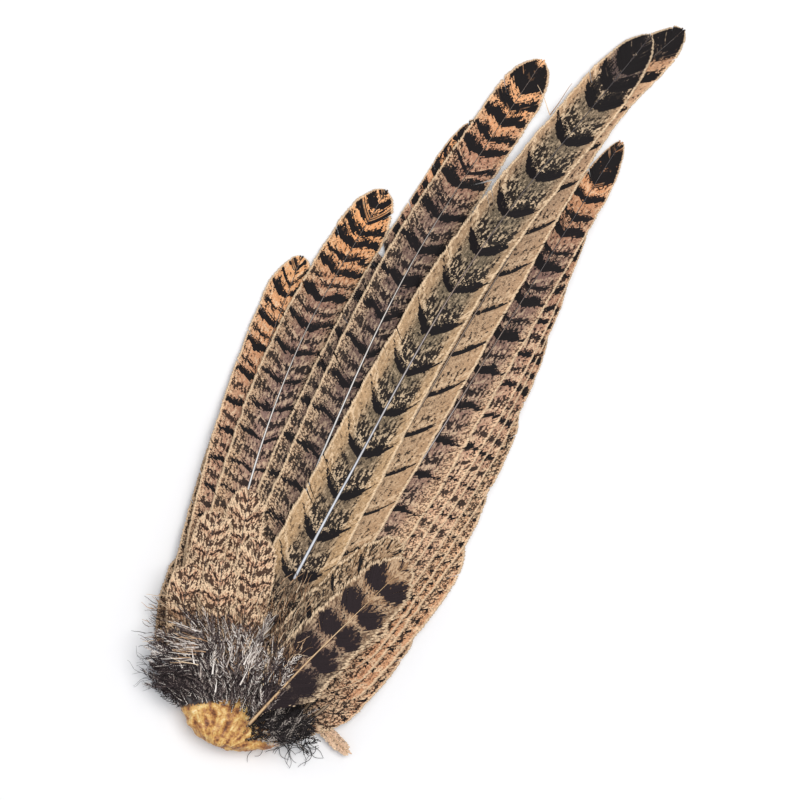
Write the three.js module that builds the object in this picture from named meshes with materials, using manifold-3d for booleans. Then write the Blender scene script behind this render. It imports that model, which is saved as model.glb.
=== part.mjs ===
// A hen pheasant's tail, cut off with its stub and lying flat: eighteen tail feathers, the coverts over and
// under their bases, the down and the dried stub that holds the quills. Millimetres, +Z up. +Y runs from the
// stub to the feather tips, and the origin is on the flat underside of the stub.
import * as THREE from "three";
import { mergeVertices } from "three/addons/utils/BufferGeometryUtils.js";
import Module from "manifold-3d";

const wasm = await Module();
wasm.setup();

// Driving dimensions
const GAP = 0.3; // clear space between neighbours
const SLOT_GAP = 0.5; // clear space round a quill in its slot in the stub
const VANE = 0.4; // thickness of a feather, the shaft and its vanes taken together
const CAMBER = 0.3; // how far the shaft stands above the vane edges
const QUILL = 0.9; // half the width of a bare quill
const TIP = 0.7; // half the width of a feather at its very tip
const STUB_HEIGHT = 11.5;
const STUB_ROUNDING = 3.5;
const QUILL_BED = 2.4; // height of the flesh under the quills
const BED_FRONT = 8; // y where the flesh stops
const BED_FOOT = 70; // y where the feathers reach the floor
const TAIL_STATIONS = 18;
const COVERT_STATIONS = 12;
const DOWN_STATIONS = 9;

const TAIL_COLOUR = 0x9a8062;
const COVERT_COLOUR = 0x8d7355;
const DOWN_COLOUR = 0x554b48;
const STUB_COLOUR = 0xd7a550;
const BUFF_COLOUR = 0xd9b98a;

// Each feather is its shaft from quill to tip, as four points, the widths of its left and right vanes,
// how much of that width is left before the tip, and the length of the rounded tip.
const feather = (name, shaft, left, right, kept, tipLength) => ({
  name, shaft, left, right, kept, tipLength,
  stations: TAIL_STATIONS, columns: 2, thick: VANE, camber: CAMBER, steepest: 0.3, colour: TAIL_COLOUR,
});
const covert = (name, shaft, left, right, kept, tipLength) => ({
  ...feather(name, shaft, left, right, kept, tipLength),
  stations: COVERT_STATIONS, colour: COVERT_COLOUR,
});

const UNDERTAIL = [
  covert("undertail_covert_left", [[-17, -3], [-22, 6], [-26, 15], [-29, 26]], 6, 6, 0.8, 6),
  covert("undertail_covert_right", [[15, -3], [21, 3], [27, 10], [31, 19]], 6, 6, 0.8, 6),
];

// From the outermost, at the bottom of the fan, to the first pair under the central feathers.
const LEFT = [
  feather("tail_feather_left_8", [[-21.6, -4], [-29, 5], [-35, 16], [-39, 31]], 9, 8, 0.8, 8),
  feather("tail_feather_left_7", [[-20.8, -3], [-30, 12], [-38.5, 31], [-44.5, 52]], 8.5, 9, 0.8, 9),
  feather("tail_feather_left_6", [[-19, -2.4], [-32, 17.8], [-43, 44.6], [-53.5, 78]], 8.5, 10, 0.8, 10),
  feather("tail_feather_left_5", [[-16.4, -2], [-34, 29], [-48, 67.2], [-60.5, 108]], 9, 10, 0.75, 13),
  feather(
    "tail_feather_left_4", [[-13.7, -1.7], [-35.5, 35.8], [-53.2, 83.7], [-65, 132.5]], 10.5, 11, 0.7, 16,
  ),
  feather(
    "tail_feather_left_3", [[-11, -1.4], [-33.2, 47.6], [-49.2, 107.4], [-53.7, 166.7]], 11.5, 11, 0.72, 18,
  ),
  feather("tail_feather_left_2", [[-8.4, -1], [-25.5, 66], [-36.6, 131], [-41.5, 203]], 12.5, 12, 0.36, 16),
  feather("tail_feather_left_1", [[-5.8, -1], [-21.1, 72.8], [-32.8, 149], [-34, 231.8]], 12, 11.5, 0.66, 16),
];
const RIGHT = [
  feather("tail_feather_right_8", [[20.8, -1], [25, 12], [28.6, 28], [31.1, 53.2]], 8, 9.6, 0.76, 12),
  feather("tail_feather_right_7", [[18.2, 0.3], [22.2, 22.2], [26.6, 48], [30.1, 85.5]], 9, 11.3, 0.86, 23),
  feather("tail_feather_right_6", [[15.6, 0.6], [20.9, 32.9], [24.4, 67.5], [27.3, 104]], 9.5, 11.6, 0.68, 25),
  feather("tail_feather_right_5", [[13, 0.9], [20.1, 42.8], [22.6, 86], [23.2, 129.5]], 10, 11.2, 0.6, 28),
  feather("tail_feather_right_4", [[10.3, 1], [17.6, 52.5], [19.6, 102.3], [15.9, 158.2]], 10, 11, 0.5, 24),
  feather("tail_feather_right_3", [[7.6, 0.8], [15, 60.7], [16.4, 117.5], [10.6, 179]], 10.5, 10.5, 0.45, 18),
  feather("tail_feather_right_2", [[4.9, 1.1], [11.4, 66.8], [12.6, 129], [5.9, 198.5]], 11, 12, 0.4, 20),
  feather("tail_feather_right_1", [[2.2, 1], [6.1, 77.4], [4.8, 154.1], [3, 223.9]], 11, 14, 0.38, 20),
];
const CENTRE = [
  feather(
    "tail_feather_centre_under",
    [[-0.5, 1.2], [-2.6, 82], [-6.6, 160], [-8.6, 231], [-0.4, 266.5]], 12, 11, 0.62, 22,
  ),
  feather(
    "tail_feather_centre_top",
    [[-3.1, -0.1], [-10.9, 78], [-16.4, 162.3], [-8.4, 258.8]], 12.5, 11.5, 0.66, 26,
  ),
];

const COVERTS = [
  covert("covert_left_1", [[-12, 4], [-20, 22], [-28, 40], [-36, 58]], 7.5, 7.5, 0.85, 7),
  covert("covert_left_2", [[-17, 2], [-27, 15], [-35, 30], [-41, 46]], 7, 7, 0.85, 7),
  covert("covert_left_3", [[-20, -1], [-28, 7], [-34, 16], [-38.5, 27]], 6.5, 6.5, 0.85, 6),
  covert("covert_middle_1", [[-6, 5], [-12, 18], [-18, 32], [-24, 47]], 7.5, 7.5, 0.85, 7),
  covert("covert_middle_2", [[-11, 3], [-18, 12], [-24.5, 22], [-30.5, 34]], 7, 7, 0.85, 7),
  covert("covert_middle_3", [[-4, 4], [-8.5, 11], [-12.5, 18.5], [-16.5, 27]], 7, 7, 0.85, 7),
  covert("covert_right_1", [[7, 3], [11, 18], [17, 33], [24, 48]], 7.5, 7.5, 0.85, 7),
];
const CROSSING = [
  covert("covert_pale_shaft", [[2.8, 3], [4.9, 26.4], [8.2, 48], [15.5, 71]], 8.5, 9, 0.8, 12),
  covert("covert_blotched", [[6.6, -6.4], [10.6, 17.8], [15.6, 41.6], [21.3, 66.9]], 11, 11, 0.8, 12),
];

// Down lies as low mounds over the bases. Each is a band, with its centre line in place of a shaft.
const down = (name, line, left, right, thick) => ({
  name, shaft: line, left, right, thick, kept: 1, tipLength: 7,
  stations: DOWN_STATIONS, columns: 6, camber: 1, steepest: 1, colour: DOWN_COLOUR, blunt: true,
});
const DOWN = [
  down("down_back", [[-36, -5], [-22, 0], [-7, 4], [9, 6]], 11, 11, 2),
  down("down_tuft", [[8, -7], [15, -5], [22, -3.5], [30, 0]], 6, 5.5, 2.2),
];
const LOOSE_BUFF = {
  ...covert("loose_buff_feather", [[25, 6], [30, 4.6], [35, 3.6], [40, 2.6]], 2.6, 2.6, 0.8, 4),
  stations: 6, colour: BUFF_COLOUR,
};

// The stub seen from above.
const STUB_OUTLINE = [
  [-20, 3], [-20.5, -4], [-16, -11], [-9, -15.5], [-2, -17], [6, -14.5], [12.5, -10], [17.5, -4], [18.5, 3],
  [10, 5.5], [-10, 5.5],
];

// Heights of what already lies there, in square cells over the ground that the tail covers.
const CELL = 0.5;
const FIELD = { x0: -90, y0: -40, columns: 280, rows: 640 };
const heights = new Float32Array(FIELD.columns * FIELD.rows);
const cellOf = (x, y) => [Math.round((x - FIELD.x0) / CELL), Math.round((y - FIELD.y0) / CELL)];
for (let row = 0; row < FIELD.rows; row++) {
  const y = FIELD.y0 + row * CELL;
  const rise = THREE.MathUtils.clamp((BED_FOOT - y) / (BED_FOOT - BED_FRONT), 0, 1);
  heights.fill(QUILL_BED * rise * rise - GAP, row * FIELD.columns, (row + 1) * FIELD.columns);
}

function highestNear(x, y) {
  const [column, row] = cellOf(x, y);
  let top = -GAP;
  for (let r = row - 1; r <= row + 1; r++) {
    for (let c = column - 1; c <= column + 1; c++) top = Math.max(top, heights[r * FIELD.columns + c]);
  }
  return top;
}

function raiseTo(x, y, z) {
  const [column, row] = cellOf(x, y);
  const cell = row * FIELD.columns + column;
  heights[cell] = Math.max(heights[cell], z);
}

// Width of one vane at a share t of the length: a bare quill, then the vane, then the rounded tip.
function vaneWidth(piece, width, t, length) {
  const full = width * (1 - (1 - piece.kept) * t);
  const quillEnd = piece.blunt ? 0 : Math.min(0.06, 9 / length);
  const vaneFull = piece.blunt ? 0.25 : Math.min(0.3, quillEnd + 32 / length);
  const opening = THREE.MathUtils.smoothstep(t, quillEnd, vaneFull);
  const start = piece.blunt ? width * 0.4 : QUILL;
  const tipStart = 1 - piece.tipLength / length;
  const past = Math.max(0, (t - tipStart) / (1 - tipStart));
  return Math.max(TIP, THREE.MathUtils.lerp(start, full, opening) * Math.sqrt(1 - past * past));
}

// The plan of a piece: rows of points from its left edge over the shaft to its right edge, close together
// near both ends.
function planOf(piece, grow = 0) {
  const curve = new THREE.CatmullRomCurve3(piece.shaft.map(([x, y]) => new THREE.Vector3(x, y, 0)));
  const length = curve.getLength();
  const plan = [];
  for (let i = 0; i <= piece.stations; i++) {
    const v = i / piece.stations;
    const t = v - (0.6 * Math.sin(2 * Math.PI * v)) / (2 * Math.PI);
    const along = curve.getTangentAt(t);
    const middle = curve.getPointAt(t);
    if (i === 0) middle.addScaledVector(along, -grow);
    if (i === piece.stations) middle.addScaledVector(along, grow);
    const toLeft = new THREE.Vector3(-along.y, along.x, 0);
    const left = vaneWidth(piece, piece.left, t, length) + grow;
    const right = vaneWidth(piece, piece.right, t, length) + grow;
    const row = [];
    for (let j = 0; j <= piece.columns; j++) {
      const share = 1 - (2 * j) / piece.columns;
      row.push(middle.clone().addScaledVector(toLeft, share * (share > 0 ? left : right)));
    }
    plan.push(row);
  }
  return plan;
}

// Visits points all over one cell of the plan, with their shares s across and t along.
function eachPoint(plan, i, j, visit) {
  const [a, b, c, d] = [plan[i][j], plan[i][j + 1], plan[i + 1][j + 1], plan[i + 1][j]];
  const stepsAcross = Math.ceil(Math.max(a.distanceTo(b), c.distanceTo(d)) / (0.7 * CELL));
  const stepsAlong = Math.ceil(Math.max(a.distanceTo(d), b.distanceTo(c)) / (0.7 * CELL));
  for (let p = 0; p <= stepsAcross; p++) {
    for (let q = 0; q <= stepsAlong; q++) {
      const s = p / stepsAcross;
      const t = q / stepsAlong;
      const near = a.clone().lerp(b, s);
      const far = d.clone().lerp(c, s);
      const at = near.lerp(far, t);
      visit(at.x, at.y, s, t);
    }
  }
}

// The higher of the two ways in which a four-cornered face may be split in triangles.
function splitHeight(a, b, c, d, s, t) {
  const one = s + t < 1 ? a + (b - a) * s + (d - a) * t : c + (d - c) * (1 - s) + (b - c) * (1 - t);
  const other = s > t ? a + (b - a) * s + (c - b) * t : a + (c - d) * s + (d - a) * t;
  return Math.max(one, other);
}

// Lays a piece on what is already there. Every point of its plan goes above all that its faces pass over,
// then it is stiffened: it bridges hollows, and it comes down no steeper than it can bend.
function lay(piece) {
  const plan = planOf(piece);
  const last = piece.stations;
  const shaft = piece.columns / 2;
  const under = plan.map((row) => row.map(() => 0));
  for (let i = 0; i < last; i++) {
    for (let j = 0; j < piece.columns; j++) {
      let top = -GAP;
      eachPoint(plan, i, j, (x, y) => {
        top = Math.max(top, highestNear(x, y));
      });
      for (const [row, column] of [[i, j], [i, j + 1], [i + 1, j], [i + 1, j + 1]]) {
        under[row][column] = Math.max(under[row][column], top + GAP);
      }
    }
  }
  for (let pass = 0; pass < 40; pass++) {
    for (let i = 0; i <= last; i++) {
      for (let j = 0; j <= piece.columns; j++) {
        for (const [row, column] of [[i - 1, j], [i + 1, j], [i, j - 1], [i, j + 1]]) {
          if (row < 0 || row > last || column < 0 || column > piece.columns) continue;
          const run = plan[i][j].distanceTo(plan[row][column]);
          under[i][j] = Math.max(under[i][j], under[row][column] - piece.steepest * run);
        }
      }
      under[i][shaft] = Math.max(under[i][shaft], (under[i][0] + under[i][piece.columns]) / 2);
    }
    for (let i = 1; i < last; i++) {
      for (let j = 0; j <= piece.columns; j++) {
        const before = plan[i][j].distanceTo(plan[i - 1][j]);
        const after = plan[i][j].distanceTo(plan[i + 1][j]);
        const bridge = (under[i - 1][j] * after + under[i + 1][j] * before) / (before + after);
        under[i][j] = Math.max(under[i][j], bridge - 0.004 * before * after);
      }
    }
  }
  under.forEach((row, i) => {
    const width = plan[i][0].distanceTo(plan[i][piece.columns]);
    row[shaft] += piece.camber * Math.min(1, width / (piece.left + piece.right));
  });
  for (let i = 0; i < last; i++) {
    for (let j = 0; j < piece.columns; j++) {
      const corners = [under[i][j], under[i][j + 1], under[i + 1][j + 1], under[i + 1][j]];
      eachPoint(plan, i, j, (x, y, s, t) => raiseTo(x, y, splitHeight(...corners, s, t) + piece.thick));
    }
  }
  return under;
}

// A closed plate over the plan, from a box with as many cells as the plan has.
function plate(piece, under, grow = 0) {
  const plan = planOf(piece, grow);
  const geometry = new THREE.BoxGeometry(1, 1, 1, piece.columns, piece.stations, 1);
  const at = geometry.attributes.position;
  for (let k = 0; k < at.count; k++) {
    const i = Math.round((at.getY(k) + 0.5) * piece.stations);
    const j = Math.round((at.getX(k) + 0.5) * piece.columns);
    const top = at.getZ(k) > 0;
    const { x, y } = plan[i][j];
    at.setXYZ(k, x, y, under[i][j] + (top ? piece.thick + grow : -grow));
  }
  geometry.computeVertexNormals();
  return geometry;
}

function solidOf(geometry) {
  const bare = geometry.index ? geometry.toNonIndexed() : geometry.clone();
  bare.deleteAttribute("normal");
  bare.deleteAttribute("uv");
  const merged = mergeVertices(bare, 1e-4);
  return new wasm.Manifold(new wasm.Mesh({
    numProp: 3,
    vertProperties: merged.attributes.position.array,
    triVerts: new Uint32Array(merged.index.array),
  }));
}

function geometryOf(solid) {
  const mesh = solid.getMesh();
  const geometry = new THREE.BufferGeometry();
  geometry.setAttribute("position", new THREE.BufferAttribute(Float32Array.from(mesh.vertProperties), 3));
  geometry.setIndex(new THREE.BufferAttribute(Uint32Array.from(mesh.triVerts), 1));
  geometry.computeVertexNormals();
  return geometry;
}

const tail = new THREE.Group();

function add(name, geometry, colour, roughness) {
  const material = new THREE.MeshStandardMaterial({ color: colour, roughness, metalness: 0 });
  const mesh = new THREE.Mesh(geometry, material);
  mesh.name = name;
  tail.add(mesh);
}

const beds = new Map();
function layAll(pieces, roughness) {
  for (const piece of pieces) {
    beds.set(piece, lay(piece));
    add(piece.name, plate(piece, beds.get(piece)), piece.colour, roughness);
  }
}

function insideOutline(points, x, y) {
  let inside = false;
  points.forEach((p, i) => {
    const q = points[(i + 1) % points.length];
    if (p.y > y !== q.y > y && x < ((q.x - p.x) * (y - p.y)) / (q.y - p.y) + p.x) inside = !inside;
  });
  return inside;
}

// The stub is a low lump with a flat underside, with a slot for each quill that grows out of it.
function stub(embedded) {
  const edge = new THREE.CatmullRomCurve3(STUB_OUTLINE.map(([x, y]) => new THREE.Vector3(x, y, 0)), true);
  const rim = edge.getPoints(STUB_OUTLINE.length * 2).slice(0, -1);
  const outline = new THREE.Shape(rim.map((p) => new THREE.Vector2(p.x, p.y)));
  const lump = new THREE.ExtrudeGeometry(outline, {
    depth: STUB_HEIGHT - 2 * STUB_ROUNDING, bevelEnabled: true, bevelThickness: STUB_ROUNDING,
    bevelSize: STUB_ROUNDING, bevelSegments: 3, curveSegments: 1,
  });
  lump.translate(0, 0, STUB_ROUNDING);
  let solid = solidOf(lump);
  for (const piece of embedded) solid = solid.subtract(solidOf(plate(piece, beds.get(piece), SLOT_GAP)));
  for (let x = FIELD.x0; x < -FIELD.x0; x += CELL) {
    for (let y = FIELD.y0; y < -FIELD.y0; y += CELL) {
      const near = rim.some((p) => Math.hypot(p.x - x, p.y - y) < STUB_ROUNDING);
      if (near || insideOutline(rim, x, y)) raiseTo(x, y, STUB_HEIGHT);
    }
  }
  const [largest] = solid.decompose().sort((a, b) => b.volume() - a.volume());
  return geometryOf(largest);
}

const rooted = [LOOSE_BUFF, ...UNDERTAIL, ...LEFT, ...RIGHT, ...CENTRE];
layAll(rooted, 0.6);
add("tail_stub", stub(rooted), STUB_COLOUR, 0.45);
layAll(COVERTS, 0.65);
layAll(DOWN, 0.95);
layAll(CROSSING, 0.65);

export default tail;
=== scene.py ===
import math

import bpy
import numpy as np
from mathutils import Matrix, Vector, noise
from mathutils.bvhtree import BVHTree


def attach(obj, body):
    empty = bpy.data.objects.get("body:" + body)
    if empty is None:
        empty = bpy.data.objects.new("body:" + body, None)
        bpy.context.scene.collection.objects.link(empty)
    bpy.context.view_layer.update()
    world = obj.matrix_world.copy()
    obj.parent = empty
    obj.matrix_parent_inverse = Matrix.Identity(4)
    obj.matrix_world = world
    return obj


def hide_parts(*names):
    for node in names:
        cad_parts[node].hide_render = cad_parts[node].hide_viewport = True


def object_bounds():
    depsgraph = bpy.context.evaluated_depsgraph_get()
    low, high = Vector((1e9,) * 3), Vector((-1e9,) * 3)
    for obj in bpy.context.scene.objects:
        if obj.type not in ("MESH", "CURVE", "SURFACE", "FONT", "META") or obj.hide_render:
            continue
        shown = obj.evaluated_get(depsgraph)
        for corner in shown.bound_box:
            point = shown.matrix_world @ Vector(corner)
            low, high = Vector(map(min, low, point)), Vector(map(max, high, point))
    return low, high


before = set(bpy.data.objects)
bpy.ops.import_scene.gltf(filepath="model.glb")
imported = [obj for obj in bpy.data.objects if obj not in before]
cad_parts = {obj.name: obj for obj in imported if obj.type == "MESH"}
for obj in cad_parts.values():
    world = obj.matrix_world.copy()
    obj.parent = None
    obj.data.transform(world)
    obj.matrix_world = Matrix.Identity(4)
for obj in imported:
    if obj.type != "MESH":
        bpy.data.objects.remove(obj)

# A dried hen pheasant tail, fanned and lying flat. Each feather is a shaft with its barbs on it, laid on
# the top of the feather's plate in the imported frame. Lengths below are in millimetres unless said.

cad_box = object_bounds()
MM = 0.001
DOWNWARD = Vector((0, 0, -1))

# ---------------------------------------------------------------- camera, light and floor

TAIL_MIDDLE = (-11.0, 110.7)   # the place that the camera looks straight down at
VIEW_WIDTH = 266.67
CAMERA_HEIGHT = 1500.0
CAMERA_TURN = 33.54            # degrees, so that the tail lies from lower left to upper right
SENSOR = 36.0
TAIL_HEIGHT = 8.0              # height at which VIEW_WIDTH is measured
FLOOR_GAP = 0.2                # how far the floor lies below the stub, so that the two faces don't meet
VIEW_TURN = math.radians(CAMERA_TURN)


def linear(colour):
    """sRGB hex text as linear red, green, blue, alpha."""
    parts = [int(colour[i:i + 2], 16) / 255 for i in (1, 3, 5)]
    return tuple(c / 12.92 if c <= 0.04045 else ((c + 0.055) / 1.055) ** 2.4 for c in parts) + (1.0,)


def add(tree, kind, *values, out=0, **settings):
    """A node in tree with its settings; values are its inputs in order, sockets or numbers, None to skip."""
    made = tree.nodes.new("ShaderNode" + kind)
    for key, value in settings.items():
        setattr(made, key, value)
    for place, value in zip(made.inputs, values):
        if isinstance(value, bpy.types.NodeSocket):
            tree.links.new(value, place)
        elif value is not None:
            place.default_value = value
    return made.outputs[out]


def calc(tree, how, *values):
    """A Math node that does how with values."""
    return add(tree, "Math", *values, operation=how)


def blend(tree, share, below, above):
    """The colour above over the colour below, by share."""
    return add(tree, "Mix", share, *[None] * 5, below, above, out=2, data_type="RGBA")


def cloud(tree, spot, times, detail):
    """Noise over spot with its three directions multiplied by times."""
    scaled = add(tree, "VectorMath", spot, times, operation="MULTIPLY")
    return add(tree, "TexNoise", scaled, None, 1.0, detail)


def attribute(tree, name, out=2):
    """A painted value of the mesh, as a number, or as a vector with out at 1."""
    return add(tree, "Attribute", out=out, attribute_name=name)


def ramp(tree, value, stops):
    """The colour at value along stops of (place, colour or four numbers)."""
    out = add(tree, "ValToRGB", value)
    band = out.node.color_ramp
    while len(band.elements) < len(stops):
        band.elements.new(0.5)
    for element, (place, colour) in zip(band.elements, sorted(stops, key=lambda s: s[0])):
        element.position = place
        element.color = linear(colour) if isinstance(colour, str) else tuple(colour)
    return out


def new_material(name):
    """A material with an empty node tree and its Principled shader joined to the output."""
    made = bpy.data.materials.new(name)
    made.use_nodes = True
    tree = made.node_tree
    tree.nodes.clear()
    surface = tree.nodes.new("ShaderNodeBsdfPrincipled")
    tree.links.new(surface.outputs[0], tree.nodes.new("ShaderNodeOutputMaterial").inputs[0])
    return made, tree, surface


def cover(tree, surface, colour, **inputs):
    """Joins colour to a Principled shader and sets its other inputs, named with _ for each space."""
    tree.links.new(colour, surface.inputs["Base Color"])
    for key, value in inputs.items():
        surface.inputs[key.replace("_", " ")].default_value = value


def set_camera():
    lens = bpy.data.cameras.new("camera")
    lens.sensor_width = SENSOR
    lens.lens = SENSOR * (CAMERA_HEIGHT - TAIL_HEIGHT) / VIEW_WIDTH
    lens.clip_start, lens.clip_end = 0.01, 20
    camera = bpy.data.objects.new("camera", lens)
    bpy.context.scene.collection.objects.link(camera)
    camera.location = (TAIL_MIDDLE[0] * MM, TAIL_MIDDLE[1] * MM, CAMERA_HEIGHT * MM)
    camera.rotation_euler = (0, 0, VIEW_TURN)
    bpy.context.scene.camera = camera


def area_light(name, place, size, watts, colour):
    """A square soft light at place, metres right, up and above the middle of the tail, facing it."""
    lamp = bpy.data.lights.new(name, "AREA")
    lamp.size, lamp.energy, lamp.color = size, watts, colour
    holder = bpy.data.objects.new(name, lamp)
    bpy.context.scene.collection.objects.link(holder)
    middle = Vector((TAIL_MIDDLE[0] * MM, TAIL_MIDDLE[1] * MM, 0))
    right = Vector((math.cos(VIEW_TURN), math.sin(VIEW_TURN), 0))
    up = Vector((-math.sin(VIEW_TURN), math.cos(VIEW_TURN), 0))
    holder.location = middle + right * place[0] + up * place[1] + Vector((0, 0, place[2]))
    holder.rotation_euler = (holder.location - middle).to_track_quat("Z", "Y").to_euler()


def set_light():
    world = bpy.data.worlds.new("studio")
    world.use_nodes = True
    sky = world.node_tree.nodes["Background"]
    sky.inputs[0].default_value = linear("#F4F6FB")
    sky.inputs[1].default_value = 0.55
    bpy.context.scene.world = world
    bpy.context.scene.view_settings.view_transform = "Standard"
    area_light("key", (0.36, 0.2, 1.3), 0.8, 12.4, (1.0, 0.98, 0.95))
    area_light("fill", (-0.9, 0.3, 0.9), 0.9, 1.5, (0.94, 0.97, 1.0))


def lay_floor():
    made, tree, surface = new_material("white_paper")
    spot = add(tree, "TexCoord", out=3)
    mottle = add(tree, "TexNoise", spot, None, 60.0, 3.0)
    tone = ramp(tree, mottle, [(0.3, "#FAFAFB"), (0.7, "#FCFCFD")])
    cover(tree, surface, tone, Roughness=0.9)
    bpy.ops.object.select_all(action="DESELECT")
    bpy.ops.mesh.primitive_plane_add(size=6, location=(0, 0, cad_box[0].z - FLOOR_GAP * MM))
    floor = bpy.context.object
    floor.name = "floor"
    floor.data.materials.append(made)


# ---------------------------------------------------------------- feather shapes

QUILL = 0.9        # half width of the bare quill
TIP = 0.7          # half width kept at the very tip
BARB_STEP = 0.42   # from barb to barb along the shaft
BARB_PARTS = 8     # lengths in each barb
SHAFT_SIDES = 12
GRID_STEP = 4.0    # spacing of the height grid along a feather
ACROSS = 9         # rows of the height grid across a feather
GRID_EDGE = 0.93   # share of the width that the outermost rows lie at
ABOVE = 0.05       # metres, from where rays are cast down at the plates
SEEK = 0.02        # metres, from where the nearest place of a plate is sought
BARE = (0.06, 9.0)      # the quill is bare for this share of the feather, or this length if it is less
FULL = (0.3, 32.0)      # the vane is full by this share, or this much past the bare quill


def smooth(value, low, high):
    """0 below low, 1 above high and a soft step between."""
    share = np.clip((value - low) / (high - low), 0, 1)
    return share * share * (3 - 2 * share)


def shaft_line(points, per_span=60):
    """Distance along, places and headings of a centripetal spline through points."""
    stops = np.array(points, float)
    stops = np.vstack([2 * stops[0] - stops[1], stops, 2 * stops[-1] - stops[-2]])
    runs = []
    share = np.linspace(0, 1, per_span, endpoint=False)[:, None]
    for a, b, c, d in zip(stops, stops[1:], stops[2:], stops[3:]):
        u, v, w = (math.sqrt(np.linalg.norm(q - p)) for p, q in ((a, b), (b, c), (c, d)))
        leave = ((b - a) / u - (c - a) / (u + v) + (c - b) / v) * v
        reach = ((c - b) / v - (d - b) / (v + w) + (d - c) / w) * v
        cube, square = share ** 3, share ** 2
        runs.append(b * (2 * cube - 3 * square + 1) + leave * (cube - 2 * square + share)
                    + c * (3 * square - 2 * cube) + reach * (cube - square))
    line = np.vstack(runs + [stops[-2:-1]])
    far = np.concatenate([[0], np.cumsum(np.linalg.norm(np.diff(line, axis=0), axis=1))])
    heading = np.gradient(line, far, axis=0)
    heading /= np.linalg.norm(heading, axis=1)[:, None]
    return far, line, heading


def vane_width(share, width, length, kept, tip):
    """Half width of one vane at a share of the feather's length, as the plates in the frame have it."""
    quill_end = min(BARE[0], BARE[1] / length)
    vane_full = min(FULL[0], quill_end + FULL[1] / length)
    full = width * (1 - (1 - kept) * share)
    start = 1 - tip / length
    past = np.clip((share - start) / (1 - start), 0, 1)
    inner = QUILL + (full - QUILL) * smooth(share, quill_end, vane_full)
    return np.maximum(TIP, inner * np.sqrt(1 - past ** 2))


class Surface:
    """The top of one plate of the frame, in coordinates along and across its feather."""

    def __init__(self, node, points, left, right, kept, tip):
        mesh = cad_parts[node].data
        tree = BVHTree.FromPolygons([v.co for v in mesh.vertices], [p.vertices for p in mesh.polygons])
        self.far, self.line, self.heading = shaft_line(points)
        self.length = self.far[-1]
        self.sides = (left, right, kept, tip)
        count = max(8, int(self.length / GRID_STEP))
        self.rows = np.linspace(0, self.length, count)
        self.across = np.linspace(-1, 1, ACROSS)
        grid = np.zeros((count, ACROSS))
        for i, along in enumerate(self.rows):
            for j, share in enumerate(self.across):
                out = GRID_EDGE * share * self.width(np.array(along), share > 0)
                x, y = self.place(np.array(along), np.array(out))
                spot = Vector((float(x) * MM, float(y) * MM, ABOVE))
                hit = tree.ray_cast(spot, DOWNWARD)[0]
                if hit is None:
                    near = tree.find_nearest(Vector((spot.x, spot.y, SEEK)))[0]
                    hit = tree.ray_cast(Vector((near.x, near.y, ABOVE)), DOWNWARD)[0] or near
                grid[i, j] = hit.z / MM
        for _ in range(2):
            padded = np.pad(grid, ((1, 1), (0, 0)), mode="edge")
            grid = 0.25 * padded[:-2] + 0.5 * padded[1:-1] + 0.25 * padded[2:]
        self.grid = grid

    def width(self, along, on_left):
        """Half width of the left or right vane at points along."""
        left, right, kept, tip = self.sides
        share = np.clip(along / self.length, 0, 1)
        return np.where(on_left, vane_width(share, left, self.length, kept, tip),
                        vane_width(share, right, self.length, kept, tip))

    def place(self, along, out):
        """Row-frame x and y of points along and to the left of the shaft."""
        inside = np.clip(along, 0, self.length)
        x, y = (np.interp(inside, self.far, self.line[:, k]) for k in (0, 1))
        hx, hy = (np.interp(inside, self.far, self.heading[:, k]) for k in (0, 1))
        past = along - inside
        return x + hx * past - hy * out, y + hy * past + hx * out

    def height(self, along, out):
        """Height of the plate's top at points along and across."""
        share = np.clip(out / self.width(along, out > 0), -1, 1)
        i = np.clip(along / self.length, 0, 1) * (len(self.rows) - 1)
        j = (share + 1) / 2 * (ACROSS - 1)
        i0 = np.minimum(i.astype(int), len(self.rows) - 2)
        j0 = np.minimum(j.astype(int), ACROSS - 2)
        fi, fj = i - i0, j - j0
        g = self.grid
        return ((g[i0, j0] * (1 - fj) + g[i0, j0 + 1] * fj) * (1 - fi)
                + (g[i0 + 1, j0] * (1 - fj) + g[i0 + 1, j0 + 1] * fj) * fi)


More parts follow.
